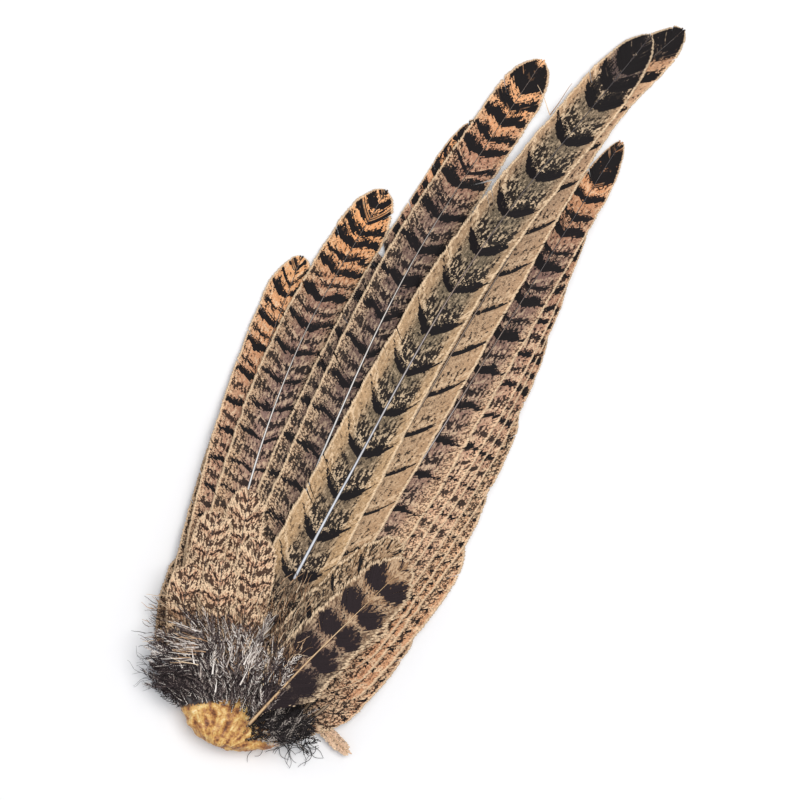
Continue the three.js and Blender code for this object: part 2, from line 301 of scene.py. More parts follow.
class Heap:
    """Vertices, faces and their painted values, gathered for one joined mesh."""

    def __init__(self):
        self.points, self.quads, self.slots, self.values = [], [], [], []
        self.count = 0

    def put(self, points, quads, slot, place, reach, strand):
        """points and the painted values are one per vertex, and quads index them. place is (mm to the left
        of the shaft, mm along it, share of its length), reach the share of the way out, and strand a chance
        number of each barb."""
        self.points.append(points)
        self.quads.append(quads + self.count)
        self.slots.append(np.full(len(quads), slot))
        self.values.append(np.column_stack([place, reach, strand]))
        self.count += len(points)

    def mesh(self, name, materials):
        """All that was put, as one piece with its painted values and a flat UV map."""
        points, quads = np.vstack(self.points) * MM, np.vstack(self.quads)
        values, slots = np.vstack(self.values), np.concatenate(self.slots)
        made = bpy.data.meshes.new(name)
        made.vertices.add(len(points))
        made.vertices.foreach_set("co", points.astype(np.float32).ravel())
        made.loops.add(quads.size)
        made.loops.foreach_set("vertex_index", quads.astype(np.int32).ravel())
        made.polygons.add(len(quads))
        made.polygons.foreach_set("loop_start", np.arange(0, quads.size, 4, dtype=np.int32))
        made.polygons.foreach_set("material_index", slots.astype(np.int32))
        made.polygons.foreach_set("use_smooth", np.ones(len(quads), bool))
        for key, kind, field, columns in (("place", "FLOAT_VECTOR", "vector", slice(0, 3)),
                                          ("reach", "FLOAT", "value", 3), ("strand", "FLOAT", "value", 4)):
            painted = made.attributes.new(key, kind, "POINT").data
            painted.foreach_set(field, values[:, columns].astype(np.float32).ravel())
        low, high = points.min(0), points.max(0)
        flat = ((points - low) / (high - low + 1e-9))[quads.ravel(), :2]
        made.uv_layers.new(name="OFBake").data.foreach_set("uv", flat.astype(np.float32).ravel())
        made.update(calc_edges=True)
        for material in materials:
            made.materials.append(material)
        piece = bpy.data.objects.new(name, made)
        bpy.context.scene.collection.objects.link(piece)
        return piece


def ribbons(heap, path, half, drop, slot, place, reach, strand, roll=0.0):
    """Strips along path (strips, steps, 3): roof-shaped if their edges drop, flat if drop is nought. half is
    their half width, and roll lifts one edge over the next strip."""
    strips, steps = path.shape[:2]
    flow = np.gradient(path[..., :2], axis=1)
    flow /= np.linalg.norm(flow, axis=2)[..., None] + 1e-9
    side = np.stack([-flow[..., 1], flow[..., 0], np.zeros((strips, steps))], axis=2)
    half = np.broadcast_to(half, (strips, steps))[..., None]
    fall, lift = np.array([0, 0, drop]), np.array([0, 0, roll])
    rails = [path - side * half - fall - lift, path, path + side * half - fall + lift]
    if not drop:
        rails = rails[::2]
    wide = len(rails)
    points = np.stack(rails, axis=2)
    start = (np.arange(strips)[:, None] * steps + np.arange(steps - 1)[None, :]).ravel() * wide
    quads = np.vstack([np.column_stack([start + k + wide, start + k + wide + 1, start + k + 1, start + k])
                       for k in range(wide - 1)])

    def painted(value, n):
        """n numbers for each step of each strip, repeated for its rails."""
        whole = np.broadcast_to(value, (strips, steps) + ((n,) if n > 1 else ()))
        return np.repeat(whole.reshape(strips * steps, n), wide, axis=0)
    heap.put(points.reshape(-1, 3), quads, slot, painted(place, 3), painted(reach, 1), painted(strand, 1))


def tube(heap, path, half, flat, slot, place):
    """A closed tapering tube along a path (steps, 3); half is its half width, flat its height over width."""
    steps, sides = len(path), SHAFT_SIDES
    flow = np.gradient(path, axis=0)
    flow /= np.linalg.norm(flow, axis=1)[:, None] + 1e-9
    side = np.column_stack([-flow[:, 1], flow[:, 0], np.zeros(steps)])
    side /= np.linalg.norm(side, axis=1)[:, None] + 1e-9
    up = np.cross(flow, side)
    turn = np.arange(sides) * 2 * math.pi / sides
    ring = (path[:, None, :] + side[:, None, :] * (half[:, None] * np.cos(turn))[..., None]
            + up[:, None, :] * (half[:, None] * flat * np.sin(turn))[..., None])
    points = np.vstack([ring.reshape(-1, 3), path[:1], path[-1:]])
    quads = []
    for k in range(steps - 1):
        for s in range(sides):
            n = (s + 1) % sides
            quads.append((k * sides + s, k * sides + n, (k + 1) * sides + n, (k + 1) * sides + s))
    first, last = steps * sides, steps * sides + 1
    for a in range(0, sides, 2):
        b, c = a + 1, (a + 2) % sides
        quads.append((first, c, b, a))
        quads.append((last, first - sides + a, first - sides + b, first - sides + c))
    values = np.vstack([np.repeat(place, sides, axis=0), place[:1], place[-1:]])
    sides_out = np.concatenate([np.tile(np.cos(turn), steps), [0, 0]])
    heap.put(points, np.array(quads), slot, values, sides_out, np.full(len(points), 0.5))


BARB_HALF = 0.725 * BARB_STEP * math.sin(math.radians(48))   # half width of a barb, over the next one
BARB_DROP = 0.07        # how far a barb's edges lie below its middle
BARB_ROLL = 0.025       # how far one edge is lifted and the other lowered, so that barbs overlap
BARB_THIN = (0.97, 0.4)     # past this share of a barb it is this much as wide
CLUMP_STEP = 3.1        # barbs this far apart hang together
WIDEST = 26.0           # no barb reaches out further
TIP_LEAN = (0.9, 26.0)  # barbs lean over by this much more at the tip, from this far before it
HALVINGS = 22
STRAY, CLUMP_STRAY = 4.0, 7.143     # how far ragged barbs are out of line, each and in clumps


def barbs(heap, surface, side, rng, splits, lean, ragged, wild):
    """The barbs of one vane. side is 1 on the left of the shaft and -1 on the right; splits are
    (distance along the shaft, opening, how far it is felt); wild barbs wave and stand up."""
    length = surface.length
    root = np.arange(min(BARE[0], BARE[1] / length) * length * 0.8, length - 0.4, BARB_STEP)
    root = root + rng.normal(0, 0.03, len(root))
    count = len(root)
    strand = rng.random(count)
    on_left = side > 0
    slant = lean * (0.75 + 0.25 * smooth(root / length, 0.0, 0.3))
    slant *= 1 + TIP_LEAN[0] * smooth(root, length - TIP_LEAN[1], length)
    low, high = np.zeros(count), np.full(count, WIDEST)
    for _ in range(HALVINGS):
        mid = (low + high) / 2
        wide = surface.width(np.minimum(root + mid * slant, length), on_left)
        grow = (wide > mid) & (root + mid * slant <= length + 0.3)
        low, high = np.where(grow, mid, low), np.where(grow, high, mid)
    end = np.maximum(low, 0.5)
    knots = np.arange(0, length + 9, CLUMP_STEP)
    clump = np.interp(root, knots, rng.normal(0, 1, len(knots)))
    end = end * (1 + ragged * rng.normal(0, 0.6, count) + ragged * 0.8 * clump)
    lag = ragged * (STRAY * rng.normal(0, 1, count) + CLUMP_STRAY * clump)
    for at, opening, felt in splits:
        away = root - at
        lag += np.sign(away) * opening / 2 * np.exp(-np.abs(away) / felt)
    s = np.append(np.linspace(0, 0.96, BARB_PARTS), 1.0)[None, :]
    end, root2, slant2 = end[:, None], root[:, None], slant[:, None]
    out = end * (1.1 * s * (1 - s) + s * s)
    along = root2 + end * slant2 * (0.7 * s * (1 - s) + s * s) + lag[:, None] * s ** 1.7
    if wild:
        bend, sway, start = np.split(rng.normal(0, 1, (count, 3)), 3, axis=1)
        along = along + wild * (1.2 * bend * s ** 1.5 + 0.35 * sway * np.sin(7 * s + 4 * start))
        out = out + wild * 0.4 * start * s * np.sin(5 * s + bend)
    x, y = surface.place(along, side * out)
    z = surface.height(np.clip(along, 0, length), side * out)
    z = z + (0.05 * rng.normal(0, 1, count))[:, None] * s + wild * 0.25 * rng.normal(0, 1, (count, 1)) * s
    thin = BARB_HALF * np.where(s > BARB_THIN[0], BARB_THIN[1], 1.0)
    place = np.stack([side * np.broadcast_to(out, x.shape), np.broadcast_to(root2, x.shape),
                      np.broadcast_to(root2 / length, x.shape)], axis=2)
    ribbons(heap, np.stack([x, y, z], axis=2), thin, BARB_DROP, 0, place, side * s, strand[:, None],
            roll=BARB_ROLL * side)


SHAFT_STEPS = 60
SHAFT_TAPER = 1.9       # over 1, so that most of the taper is near the quill
SHAFT_FLAT = 0.8        # height of the shaft over its width


def shaft(heap, surface, base, tip, start, lift):
    """The rachis: a tapering, slightly flattened tube on the line of the feather, base and tip half wide."""
    along = np.linspace(start, surface.length - 0.5, SHAFT_STEPS)
    share = along / surface.length
    half = tip + (base - tip) * (1 - share) ** SHAFT_TAPER
    middle = np.zeros(SHAFT_STEPS)
    x, y = surface.place(along, middle)
    z = surface.height(along, middle) + lift - 0.5 * half
    tube(heap, np.column_stack([x, y, z]), half, SHAFT_FLAT, 1, np.column_stack([middle, along, share]))


# Feathers from the lowest to the topmost, as name: shaft points, left width, right width, share of it kept
# at the tip, length of the tip, finish.
UNDER = {
    "loose_buff_feather": ([(25, 6), (30, 4.6), (35, 3.6), (40, 2.6)], 2.6, 2.6, 0.8, 4, "buff"),
    "undertail_covert_left": ([(-17, -3), (-22, 6), (-26, 15), (-29, 26)], 6, 6, 0.8, 6, "covert"),
    "undertail_covert_right": ([(15, -3), (21, 3), (27, 10), (31, 19)], 6, 6, 0.8, 6, "covert"),
}
TAIL = {
    "left_8": ([(-21.6, -4), (-29, 5), (-35, 16), (-39, 31)], 9, 8, 0.8, 8, "left_low"),
    "left_7": ([(-20.8, -3), (-30, 12), (-38.5, 31), (-44.5, 52)], 8.5, 9, 0.8, 9, "left_low"),
    "left_6": ([(-19, -2.4), (-32, 17.8), (-43, 44.6), (-53.5, 78)], 8.5, 10, 0.8, 10, "left_low"),
    "left_5": ([(-16.4, -2), (-34, 29), (-48, 67.2), (-60.5, 108)], 9, 10, 0.75, 13, "left_4"),
    "left_4": ([(-13.7, -1.7), (-35.5, 35.8), (-53.2, 83.7), (-65, 132.5)], 10.5, 11, 0.7, 16, "left_4"),
    "left_3": ([(-11, -1.4), (-33.2, 47.6), (-49.2, 107.4), (-53.7, 166.7)], 11.5, 11, 0.72, 18, "left_3"),
    "left_2": ([(-8.4, -1), (-25.5, 66), (-36.6, 131), (-41.5, 203)], 12.5, 12, 0.36, 16, "left_1"),
    "left_1": ([(-5.8, -1), (-21.1, 72.8), (-32.8, 149), (-34, 231.8)], 12, 11.5, 0.66, 16, "left_1"),
    "right_8": ([(20.8, -1), (25, 12), (28.6, 28), (31.1, 53.2)], 8, 9.6, 0.76, 12, "right_low"),
    "right_7": ([(18.2, 0.3), (22.2, 22.2), (26.6, 48), (30.1, 85.5)], 9, 11.3, 0.86, 23, "right_low"),
    "right_6": ([(15.6, 0.6), (20.9, 32.9), (24.4, 67.5), (27.3, 104)], 9.5, 11.6, 0.68, 25, "right_low"),
    "right_5": ([(13, 0.9), (20.1, 42.8), (22.6, 86), (23.2, 129.5)], 10, 11.2, 0.6, 28, "right_low"),
    "right_4": ([(10.3, 1), (17.6, 52.5), (19.6, 102.3), (15.9, 158.2)], 10, 11, 0.5, 24, "right_2"),
    "right_3": ([(7.6, 0.8), (15, 60.7), (16.4, 117.5), (10.6, 179)], 10.5, 10.5, 0.45, 18, "right_2"),
    "right_2": ([(4.9, 1.1), (11.4, 66.8), (12.6, 129), (5.9, 198.5)], 11, 12, 0.4, 20, "right_2"),
    "right_1": ([(2.2, 1), (6.1, 77.4), (4.8, 154.1), (3, 223.9)], 11, 14, 0.38, 20, "right_1"),
    "centre_under": ([(-0.5, 1.2), (-2.6, 82), (-6.6, 160), (-8.6, 231), (-0.4, 266.5)],
                     12, 11, 0.62, 22, "centre_under"),
    "centre_top": ([(-3.1, -0.1), (-10.9, 78), (-16.4, 162.3), (-8.4, 258.8)],
                   12.5, 11.5, 0.66, 26, "centre_top"),
}
COVERTS = {
    "left_1": ([(-12, 4), (-20, 22), (-28, 40), (-36, 58)], 7.5, 7.5, 0.85, 7, "covert"),
    "left_2": ([(-17, 2), (-27, 15), (-35, 30), (-41, 46)], 7, 7, 0.85, 7, "covert"),
    "left_3": ([(-20, -1), (-28, 7), (-34, 16), (-38.5, 27)], 6.5, 6.5, 0.85, 6, "covert"),
    "middle_1": ([(-6, 5), (-12, 18), (-18, 32), (-24, 47)], 7.5, 7.5, 0.85, 7, "covert"),
    "middle_2": ([(-11, 3), (-18, 12), (-24.5, 22), (-30.5, 34)], 7, 7, 0.85, 7, "covert"),
    "middle_3": ([(-4, 4), (-8.5, 11), (-12.5, 18.5), (-16.5, 27)], 7, 7, 0.85, 7, "covert"),
    "right_1": ([(7, 3), (11, 18), (17, 33), (24, 48)], 7.5, 7.5, 0.85, 7, "covert"),
    "pale_shaft": ([(2.8, 3), (4.9, 26.4), (8.2, 48), (15.5, 71)], 8.5, 9, 0.8, 12, "pale_shaft"),
    "blotched": ([(6.6, -6.4), (10.6, 17.8), (15.6, 41.6), (21.3, 66.9)], 11, 11, 0.8, 12, "blotched"),
}
FEATHERS = {**UNDER, **{"tail_feather_" + name: row for name, row in TAIL.items()},
            **{"covert_" + name: row for name, row in COVERTS.items()}}

# ---------------------------------------------------------------- feather colours

BLACK = "#120D0F"
CREAM = "#EDD0AC"
WORM = (0.95, 1.55, 0.0)        # how often the worming turns in a mm across and along
FINE_WORM = (1.75, 1.45, 0.0)

# Each finish: pitch, first and thick are the distance between bars, the place of one and its thickness;
# warp and comb how far bars wander and how far single barbs are out of line. ground and edge are colours
# along the feather, in the middle of it and out at its edges. across is (mm to the left of the shaft,
# thickness of the bars, worming, share of the edge colour, how many mm the bars are carried to the tip).
# along is (share of the length, thickness of the bars, worming, cream, thickness of the half-way bars).
# beat is (place between two bars, dark teeth, cream line, cream flecks in the middle of the vane). Some
# have worm (how fine the worming is), depth (how dark it is), pale (how strong the cream is), soft (blur
# of the bars' sides) and black (the colour of the bars).
FINISHES = {
    "centre_top": dict(
        pitch=15.6, first=56.0, thick=4.7, warp=1.2, comb=0.8, pale=0.65, depth=0.5, worm=FINE_WORM,
        across=[(12.5, 0.1, 0.5, 1, 5), (9.5, 0.1, 0.05, 1, 4), (7.2, 0.12, 0, 0.9, 2.6),
                (6, 0.42, 0.2, 0.5, 1.2), (4.6, 0.75, 0.2, 0.1, 0.3), (3, 0.85, 0.2, 0, -0.3),
                (1, 0.75, 0.2, 0, -0.1), (0, 0.42, 0.2, 0, 0.8), (-1, 0.8, 0.2, 0, 0.1),
                (-3.2, 1, 0.2, 0, -1), (-5, 0.95, 0.2, 0.1, -1.4), (-6.4, 0.6, 0.2, 0.5, -1.2),
                (-7.2, 0.14, 0, 0.8, -0.6), (-9.5, 0.1, 0, 1, 0.2), (-12, 0.08, 0.3, 1, 0)],
        ground=[(0, "#43372F"), (0.09, "#54463A"), (0.16, "#715E4A"), (0.45, "#675A47"), (0.7, "#615646"),
                (0.88, "#72624F"), (0.93, "#504140"), (1, "#2B2225")],
        edge=[(0, "#5E4E40"), (0.1, "#86705A"), (0.16, "#B8966F"), (0.4, "#BC9A74"), (0.75, "#A08266"),
              (0.9, "#CBA37D"), (0.955, "#5C473E")],
        along=[(0, 0.9, 1, 0.4, 0.3), (0.16, 0.95, 1, 0.8, 0), (0.4, 0.95, 1, 0.9, 0), (0.6, 1.05, 1, 1, 0),
               (0.8, 1.15, 1, 1, 0), (0.87, 1.2, 0.9, 0.9, 0), (0.915, 1.6, 0.9, 0.4, 1.4),
               (0.95, 2.4, 0.8, 0.5, 2.2), (1, 2.6, 0.9, 0.7, 2.2)],
        beat=[(0, 0, 0, 0), (0.2, 0, 0.4, 0.2), (0.25, 0.1, 1, 0.75), (0.29, 0.3, 0.4, 0.45),
              (0.34, 0.7, 0, 0.25), (0.44, 0.74, 0, 0.18), (0.56, 0.6, 0, 0.12), (0.7, 0.35, 0, 0.08),
              (0.85, 0.1, 0, 0), (1, 0, 0, 0)]),
    "centre_under": dict(
        pitch=15.6, first=52.6, thick=4.2, warp=0.9, comb=0.7, pale=0.5, depth=0.5, worm=FINE_WORM,
        ground=[(0, "#A98A6A"), (0.5, "#AD8D6E"), (0.7, "#A5866B"), (0.84, "#BC987A"), (0.91, "#C99D79"),
                (0.935, "#B98A68"), (0.95, "#4A3831"), (0.975, "#2A2021")],
        edge=[(0, "#B08D6A"), (0.5, "#B4916F"), (0.7, "#AD8B6C"), (0.87, "#CDA280"), (0.945, "#DDAD86"),
              (0.96, "#4A3831")],
        across=[(12, 0.1, 0.5, 1, 4), (8, 0.3, 0.2, 0.9, 3), (4, 1, 0.3, 0, 0), (1, 0.9, 0.3, 0, 0),
                (0, 0.7, 0.3, 0, 0.3), (-1, 0.9, 0.3, 0, 0), (-4, 1, 0.3, 0, 0), (-6, 0.6, 0.1, 0.6, 0.3),
                (-7.5, 0.2, 0, 0.9, 0.5), (-11, 0.2, 0.2, 1, 0.5)],
        along=[(0, 0.3, 1, 0.6, 0), (0.3, 0.5, 0.8, 0.9, 0), (0.7, 0.6, 0.8, 0.9, 0),
               (0.82, 0.9, 0.7, 0.9, 0), (0.9, 1.3, 0.7, 0.9, 0), (0.935, 1.5, 0.8, 0.8, 0),
               (0.95, 2.6, 0.8, 0.6, 2.2), (1, 2.6, 1, 0.8, 2.4)],
        beat=[(0, 0, 0, 0), (0.2, 0, 0.4, 0.2), (0.25, 0.1, 0.9, 0.6), (0.29, 0.15, 0.3, 0.3),
              (0.34, 0.3, 0, 0.2), (0.44, 0.2, 0, 0.1), (0.6, 0.05, 0, 0), (1, 0, 0, 0)]),
    "left_1": dict(
        pitch=12.7, first=145.6, thick=4.2, warp=2.4, comb=1.1, pale=0.42,
        ground=[(0, "#8A6C55"), (0.35, "#6A544D"), (0.6, "#69534C"), (0.74, "#775D53"), (0.83, "#B7856A"),
                (0.9, "#E2A170"), (1, "#EDB17F")],
        edge=[(0, "#AC8663"), (0.5, "#A07D61"), (0.72, "#9E7B60"), (0.84, "#D59B6E"), (0.92, "#EDB688"),
              (1, "#EFBA8D")],
        across=[(12.5, 0.4, 1, 1, -6), (8, 0.6, 1, 0.7, -3), (6, 0.85, 0.7, 0.3, -1.9),
                (4.6, 1, 0.1, 0.1, -1.3), (2.5, 1, 0.05, 0, -0.7), (0, 0.75, 0.05, 0, 0.2),
                (-2.5, 1, 0.05, 0, -0.6), (-5, 0.9, 0.1, 0.1, -1.5), (-6.5, 0.8, 0.6, 0.4, -2.4),
                (-9, 0.65, 1, 0.8, -4.2), (-12, 0.5, 1, 1, -6)],
        along=[(0, 0.3, 1, 0.8, 0), (0.35, 0.55, 1, 0.9, 0), (0.6, 0.8, 1, 0.8, 0),
               (0.75, 1.0, 0.9, 0.6, 0.1), (0.84, 1.05, 0.6, 0.6, 0.6), (0.9, 1.1, 0.5, 0.6, 0.7),
               (0.93, 1.8, 0.5, 0.4, 1.0), (0.965, 2.2, 0.5, 0.4, 1.9), (0.985, 1.4, 1.2, 1, 1.2),
               (1, 0.7, 1.3, 1, 0.8)],
        beat=[(0, 0.1, 0, 0), (0.26, 0.3, 0.2, 0.1), (0.3, 0.05, 0.5, 0.3), (0.42, 0.1, 0.1, 0.2),
              (0.47, 0.7, 0, 0), (0.63, 0.85, 0, 0.1), (0.68, 0.2, 0.3, 0.3), (0.8, 0.12, 0.1, 0.1),
              (1, 0.12, 0, 0)]),
    "left_3": dict(
        pitch=10.2, first=80.8, thick=3.4, warp=2.2, comb=1.1, pale=0.5,
        ground=[(0, "#B48D70"), (0.3, "#AB8670"), (0.5, "#846860"), (0.6, "#785D54"), (0.75, "#8E6A5A"),
                (0.85, "#DA9967"), (0.92, "#EBA56C"), (1, "#F1B682")],
        edge=[(0, "#CDA17A"), (0.3, "#C69B76"), (0.5, "#A68162"), (0.72, "#A88060"), (0.83, "#E4A770"),
              (1, "#F4C291")],
        across=[(12, 0.4, 0.8, 1, -5.6), (8, 0.65, 0.7, 0.8, -3), (6, 0.9, 0.5, 0.5, -1.9),
                (4.6, 1, 0.1, 0.2, -1.3), (2.5, 1, 0.05, 0, -0.7), (0, 0.75, 0.05, 0, 0.2),
                (-2.5, 1, 0.05, 0, -0.6), (-5, 0.9, 0.1, 0.1, -1.5), (-6.5, 0.8, 0.5, 0.4, -2.4),
                (-9, 0.65, 0.8, 0.8, -4.2), (-11, 0.5, 0.8, 1, -5.5)],
        along=[(0, 0.2, 1, 0.9, 0), (0.35, 0.4, 1, 0.9, 0), (0.6, 0.6, 1, 0.8, 0),
               (0.78, 0.9, 0.8, 0.6, 0.2), (0.9, 1.2, 0.5, 0.7, 0.8), (0.96, 1.3, 0.6, 0.7, 1.0),
               (1, 1.9, 1, 0.6, 1.3)],
        beat=[(0, 0.1, 0, 0), (0.28, 0.3, 0.2, 0.1), (0.32, 0.05, 0.5, 0.3), (0.42, 0.1, 0.1, 0.2),
              (0.47, 0.7, 0, 0), (0.63, 0.85, 0, 0.1), (0.68, 0.2, 0.3, 0.3), (0.8, 0.1, 0.1, 0.1),
              (1, 0.1, 0, 0)]),
    "left_4": dict(
        pitch=9.9, first=80.0, thick=3.0, warp=2.2, comb=1.0,
        ground=[(0, "#98765C"), (0.35, "#A67E6A"), (0.6, "#B1856C"), (0.8, "#D0956A"), (1, "#E4A772")],
        edge=[(0, "#AF8965"), (0.45, "#C89875"), (0.75, "#E4AF82"), (1, "#F3C496")],
        across=[(10.5, 0, 0.5, 1, -4.8), (8, 0.3, 0.9, 0.8, -3.1), (6.6, 0.8, 0.4, 0.4, -2.3),
                (4.6, 1, 0.1, 0.1, -1.3), (2.5, 1, 0.05, 0, -0.7), (0, 0.7, 0.05, 0, 0.2),
                (-2.5, 1, 0.05, 0, -0.6), (-6, 0.9, 0.4, 0.3, -2.1), (-9, 0.6, 1, 0.8, -4.2),
                (-11, 0.5, 1, 1, -5.5)],
        along=[(0, 0.2, 1, 0.9, 0), (0.3, 0.4, 1, 0.8, 0), (0.6, 0.7, 0.9, 0.6, 0.05),
               (0.9, 1, 0.6, 0.6, 0.25), (1, 1.2, 0.8, 0.6, 0.6)],
        beat=[(0, 0.1, 0, 0), (0.26, 0.3, 0.2, 0.1), (0.3, 0.05, 0.4, 0.2), (0.42, 0.1, 0, 0.1),
              (0.47, 0.65, 0, 0), (0.62, 0.8, 0, 0), (0.67, 0.15, 0.3, 0.2), (0.8, 0.1, 0.1, 0.1),
              (1, 0.1, 0, 0)]),
    "left_low": dict(
        pitch=8.6, first=20, thick=1.5, warp=2.4, comb=0.8,
        ground=[(0, "#927058"), (0.5, "#9F7A61"), (1, "#AE896A")],
        edge=[(0, "#AB8361"), (1, "#C89B75")],
        across=[(10, 0.5, 1, 1, -4.5), (6, 0.6, 1, 0.5, -1.9), (2, 0.9, 0.5, 0, -0.5), (0, 0.7, 0.4, 0, 0),
                (-2, 0.9, 0.5, 0, -0.5), (-6, 0.6, 1, 0.5, -2.1), (-10, 0.4, 1, 1, -5)],
        along=[(0, 0.5, 1.2, 0.9, 0.1), (0.5, 0.9, 1.1, 1, 0.1), (1, 1, 1.1, 1.1, 0.1)],
        beat=[(0, 0.1, 0, 0), (0.16, 0.2, 0.5, 0.3), (0.22, 0.05, 0.9, 0.3), (0.32, 0.1, 0.2, 0.2),
              (0.45, 0.4, 0, 0.1), (0.7, 0.4, 0, 0.1), (1, 0.2, 0, 0)]),
    "right_1": dict(
        pitch=13.5, first=90.6, thick=3.8, warp=1.2, comb=0.9, pale=0.5,
        ground=[(0, "#99765C"), (0.3, "#957565"), (0.6, "#83665A"), (0.78, "#806258"), (0.88, "#BC8763"),
                (0.93, "#DF9B6A"), (1, "#B47E58")],
        edge=[(0, "#BE946F"), (0.4, "#D2A37F"), (0.7, "#CF9F7A"), (0.85, "#BC8C69"), (0.92, "#E7A772"),
              (1, "#D79D6E")],
        across=[(11, 0.3, 0.9, 0.8, -5), (6, 0.6, 0.8, 0.5, -1.9), (4.4, 0.95, 0.15, 0.2, -1.2),
                (2.5, 1, 0.05, 0, -0.6), (0, 0.8, 0.05, 0, 0.2), (-1, 1, 0.05, 0, -0.2),
                (-3.5, 0.95, 0.05, 0, -0.9), (-5.5, 0.45, 0.2, 0.2, -1.7), (-7, 0.25, 0.9, 0.6, -2.6),
                (-10, 0.2, 0.9, 1, -4.6), (-14, 0.2, 0.6, 1, -7)],
        along=[(0, 0.3, 1, 0.9, 0), (0.35, 0.7, 1, 0.9, 0), (0.6, 1.0, 1, 0.8, 0.1),
               (0.8, 1.25, 0.9, 0.6, 0.4), (0.88, 1.1, 0.6, 0.6, 0.6), (0.915, 0.6, 0.5, 0.6, 0.3),
               (0.925, 2.4, 0.6, 0.4, 2), (0.975, 2.8, 0.6, 0.3, 2.6), (0.985, 0.6, 1.2, 1, 0.6),
               (1, 0.6, 1.3, 1, 0.6)],
        beat=[(0, 0.1, 0, 0), (0.22, 0.3, 0.3, 0.1), (0.27, 0.05, 0.8, 0.4), (0.34, 0.1, 0.1, 0.3),
              (0.42, 0.65, 0, 0.1), (0.56, 0.8, 0, 0), (0.62, 0.3, 0.2, 0.2), (0.8, 0.15, 0, 0.1),
              (1, 0.1, 0, 0)]),
    "right_2": dict(
        pitch=11.8, first=60, thick=3.4, warp=2.2, comb=1.0,
        ground=[(0, "#C09676"), (0.5, "#C29A82"), (0.8, "#A57C69"), (1, "#AB7854")],
        edge=[(0, "#D8A67F"), (0.5, "#E6AE88"), (1, "#DEA172")],
        across=[(11, 0.4, 0.9, 0.8, -5), (6, 0.7, 0.8, 0.5, -1.9), (2.5, 1, 0.05, 0, -0.6),
                (0, 0.8, 0.05, 0, 0.2), (-3, 1, 0.08, 0, -0.8), (-5.2, 0.8, 0.25, 0.3, -1.6),
                (-7, 0.45, 1, 0.7, -2.6), (-12, 0.3, 0.9, 1, -6)],
        along=[(0, 0.2, 1, 1, 0), (0.4, 0.35, 1, 1, 0), (0.65, 0.6, 1, 0.8, 0.1), (0.85, 0.9, 0.9, 0.7, 0.5),
               (1, 1.6, 0.8, 0.5, 1.2)],
        beat=[(0, 0.1, 0, 0), (0.24, 0.3, 0.3, 0.1), (0.29, 0.05, 0.9, 0.4), (0.36, 0.1, 0.1, 0.3),
              (0.43, 0.65, 0, 0.1), (0.58, 0.8, 0, 0), (0.64, 0.3, 0.3, 0.2), (0.8, 0.15, 0, 0.1),
              (1, 0.1, 0, 0)]),
    "right_low": dict(
        pitch=8.4, first=20, thick=1.5, warp=3.0, comb=1.0,
        ground=[(0, "#A27C62"), (0.5, "#A88267"), (1, "#B68D6A")],
        edge=[(0, "#CE9069"), (0.5, "#D29A71"), (1, "#DEA57C")],
        across=[(10, 0.3, 1, 0.8, -4.5), (4, 0.8, 0.8, 0.3, -1.2), (0, 0.7, 0.5, 0, 0),
                (-3, 0.9, 0.8, 0.2, -0.8), (-5, 0.5, 1, 0.4, -1.6), (-6.6, 0.6, 1, 0.8, -2.6),
                (-7.6, 1.3, 0.5, 1, -3.2), (-8.4, 0.1, 0.3, 1, -3.8), (-11, 0, 0.3, 1, -5.5)],
        along=[(0, 0.5, 1, 1, 0.3), (0.5, 0.8, 1, 1.1, 0.35), (1, 0.9, 1, 1.2, 0.35)],
        beat=[(0, 0.1, 0, 0), (0.14, 0.2, 0.5, 0.2), (0.2, 0.05, 1, 0.3), (0.3, 0.1, 0.3, 0.2),
              (0.45, 0.4, 0, 0.1), (0.7, 0.4, 0, 0.1), (1, 0.2, 0, 0)]),
    "covert": dict(
        pitch=6.4, first=4, thick=1.2, warp=1.6, comb=0.7, depth=0.5, pale=0.8, black="#35231B",
        ground=[(0, "#3E332F"), (0.15, "#5A483D"), (0.35, "#A57D61"), (0.5, "#C49373"), (1, "#C8987A")],
        edge=[(0, "#4C3E37"), (0.15, "#75604F"), (0.35, "#D2A886"), (1, "#E6C4A0")],
        across=[(7.5, 0.3, 0.6, 1, -6), (5, 0.7, 0.6, 0.5, -3.6), (3, 0.9, 0.4, 0.1, -2),
                (0, 0.8, 0.3, 0, 0), (-3, 0.9, 0.4, 0.1, -2), (-5, 0.7, 0.6, 0.5, -3.6),
                (-7.5, 0.3, 0.6, 1, -6)],
        along=[(0, 0.8, 1, 0.5, 0.2), (0.4, 0.7, 1, 0.9, 0.2), (1, 0.7, 1, 1, 0.2)],
        beat=[(0, 0.1, 0, 0), (0.24, 0.3, 0.4, 0.2), (0.3, 0.1, 0.8, 0.6), (0.4, 0.3, 0.3, 0.6),
              (0.55, 0.62, 0, 0.3), (0.75, 0.62, 0, 0.2), (1, 0.2, 0, 0.1)]),
    "pale_shaft": dict(
        pitch=11.5, first=6, thick=1.9, warp=2.0, comb=1.0,
        ground=[(0, "#3C3230"), (0.25, "#4C3F37"), (0.45, "#6C5946"), (0.7, "#886B51"), (1, "#99785A")],
        edge=[(0, "#4A3D38"), (0.3, "#6B5845"), (0.6, "#91724F"), (1, "#A3815C")],
        across=[(8.5, 0.15, 0.4, 1, 0), (5.5, 0.6, 0.5, 0.6, -1.5), (3, 1, 0.3, 0.2, -1),
                (0, 0.5, 0.3, 0, 0), (-3, 1, 0.3, 0.2, -1), (-5.5, 0.6, 0.5, 0.6, -1.5),
                (-9, 0.15, 0.4, 1, 0)],
        along=[(0, 0.6, 1.2, 0.5, 0.2), (0.4, 0.9, 0.9, 0.8, 0.1), (0.8, 0.6, 0.8, 0.9, 0),
               (1, 0.4, 0.6, 0.9, 0)],
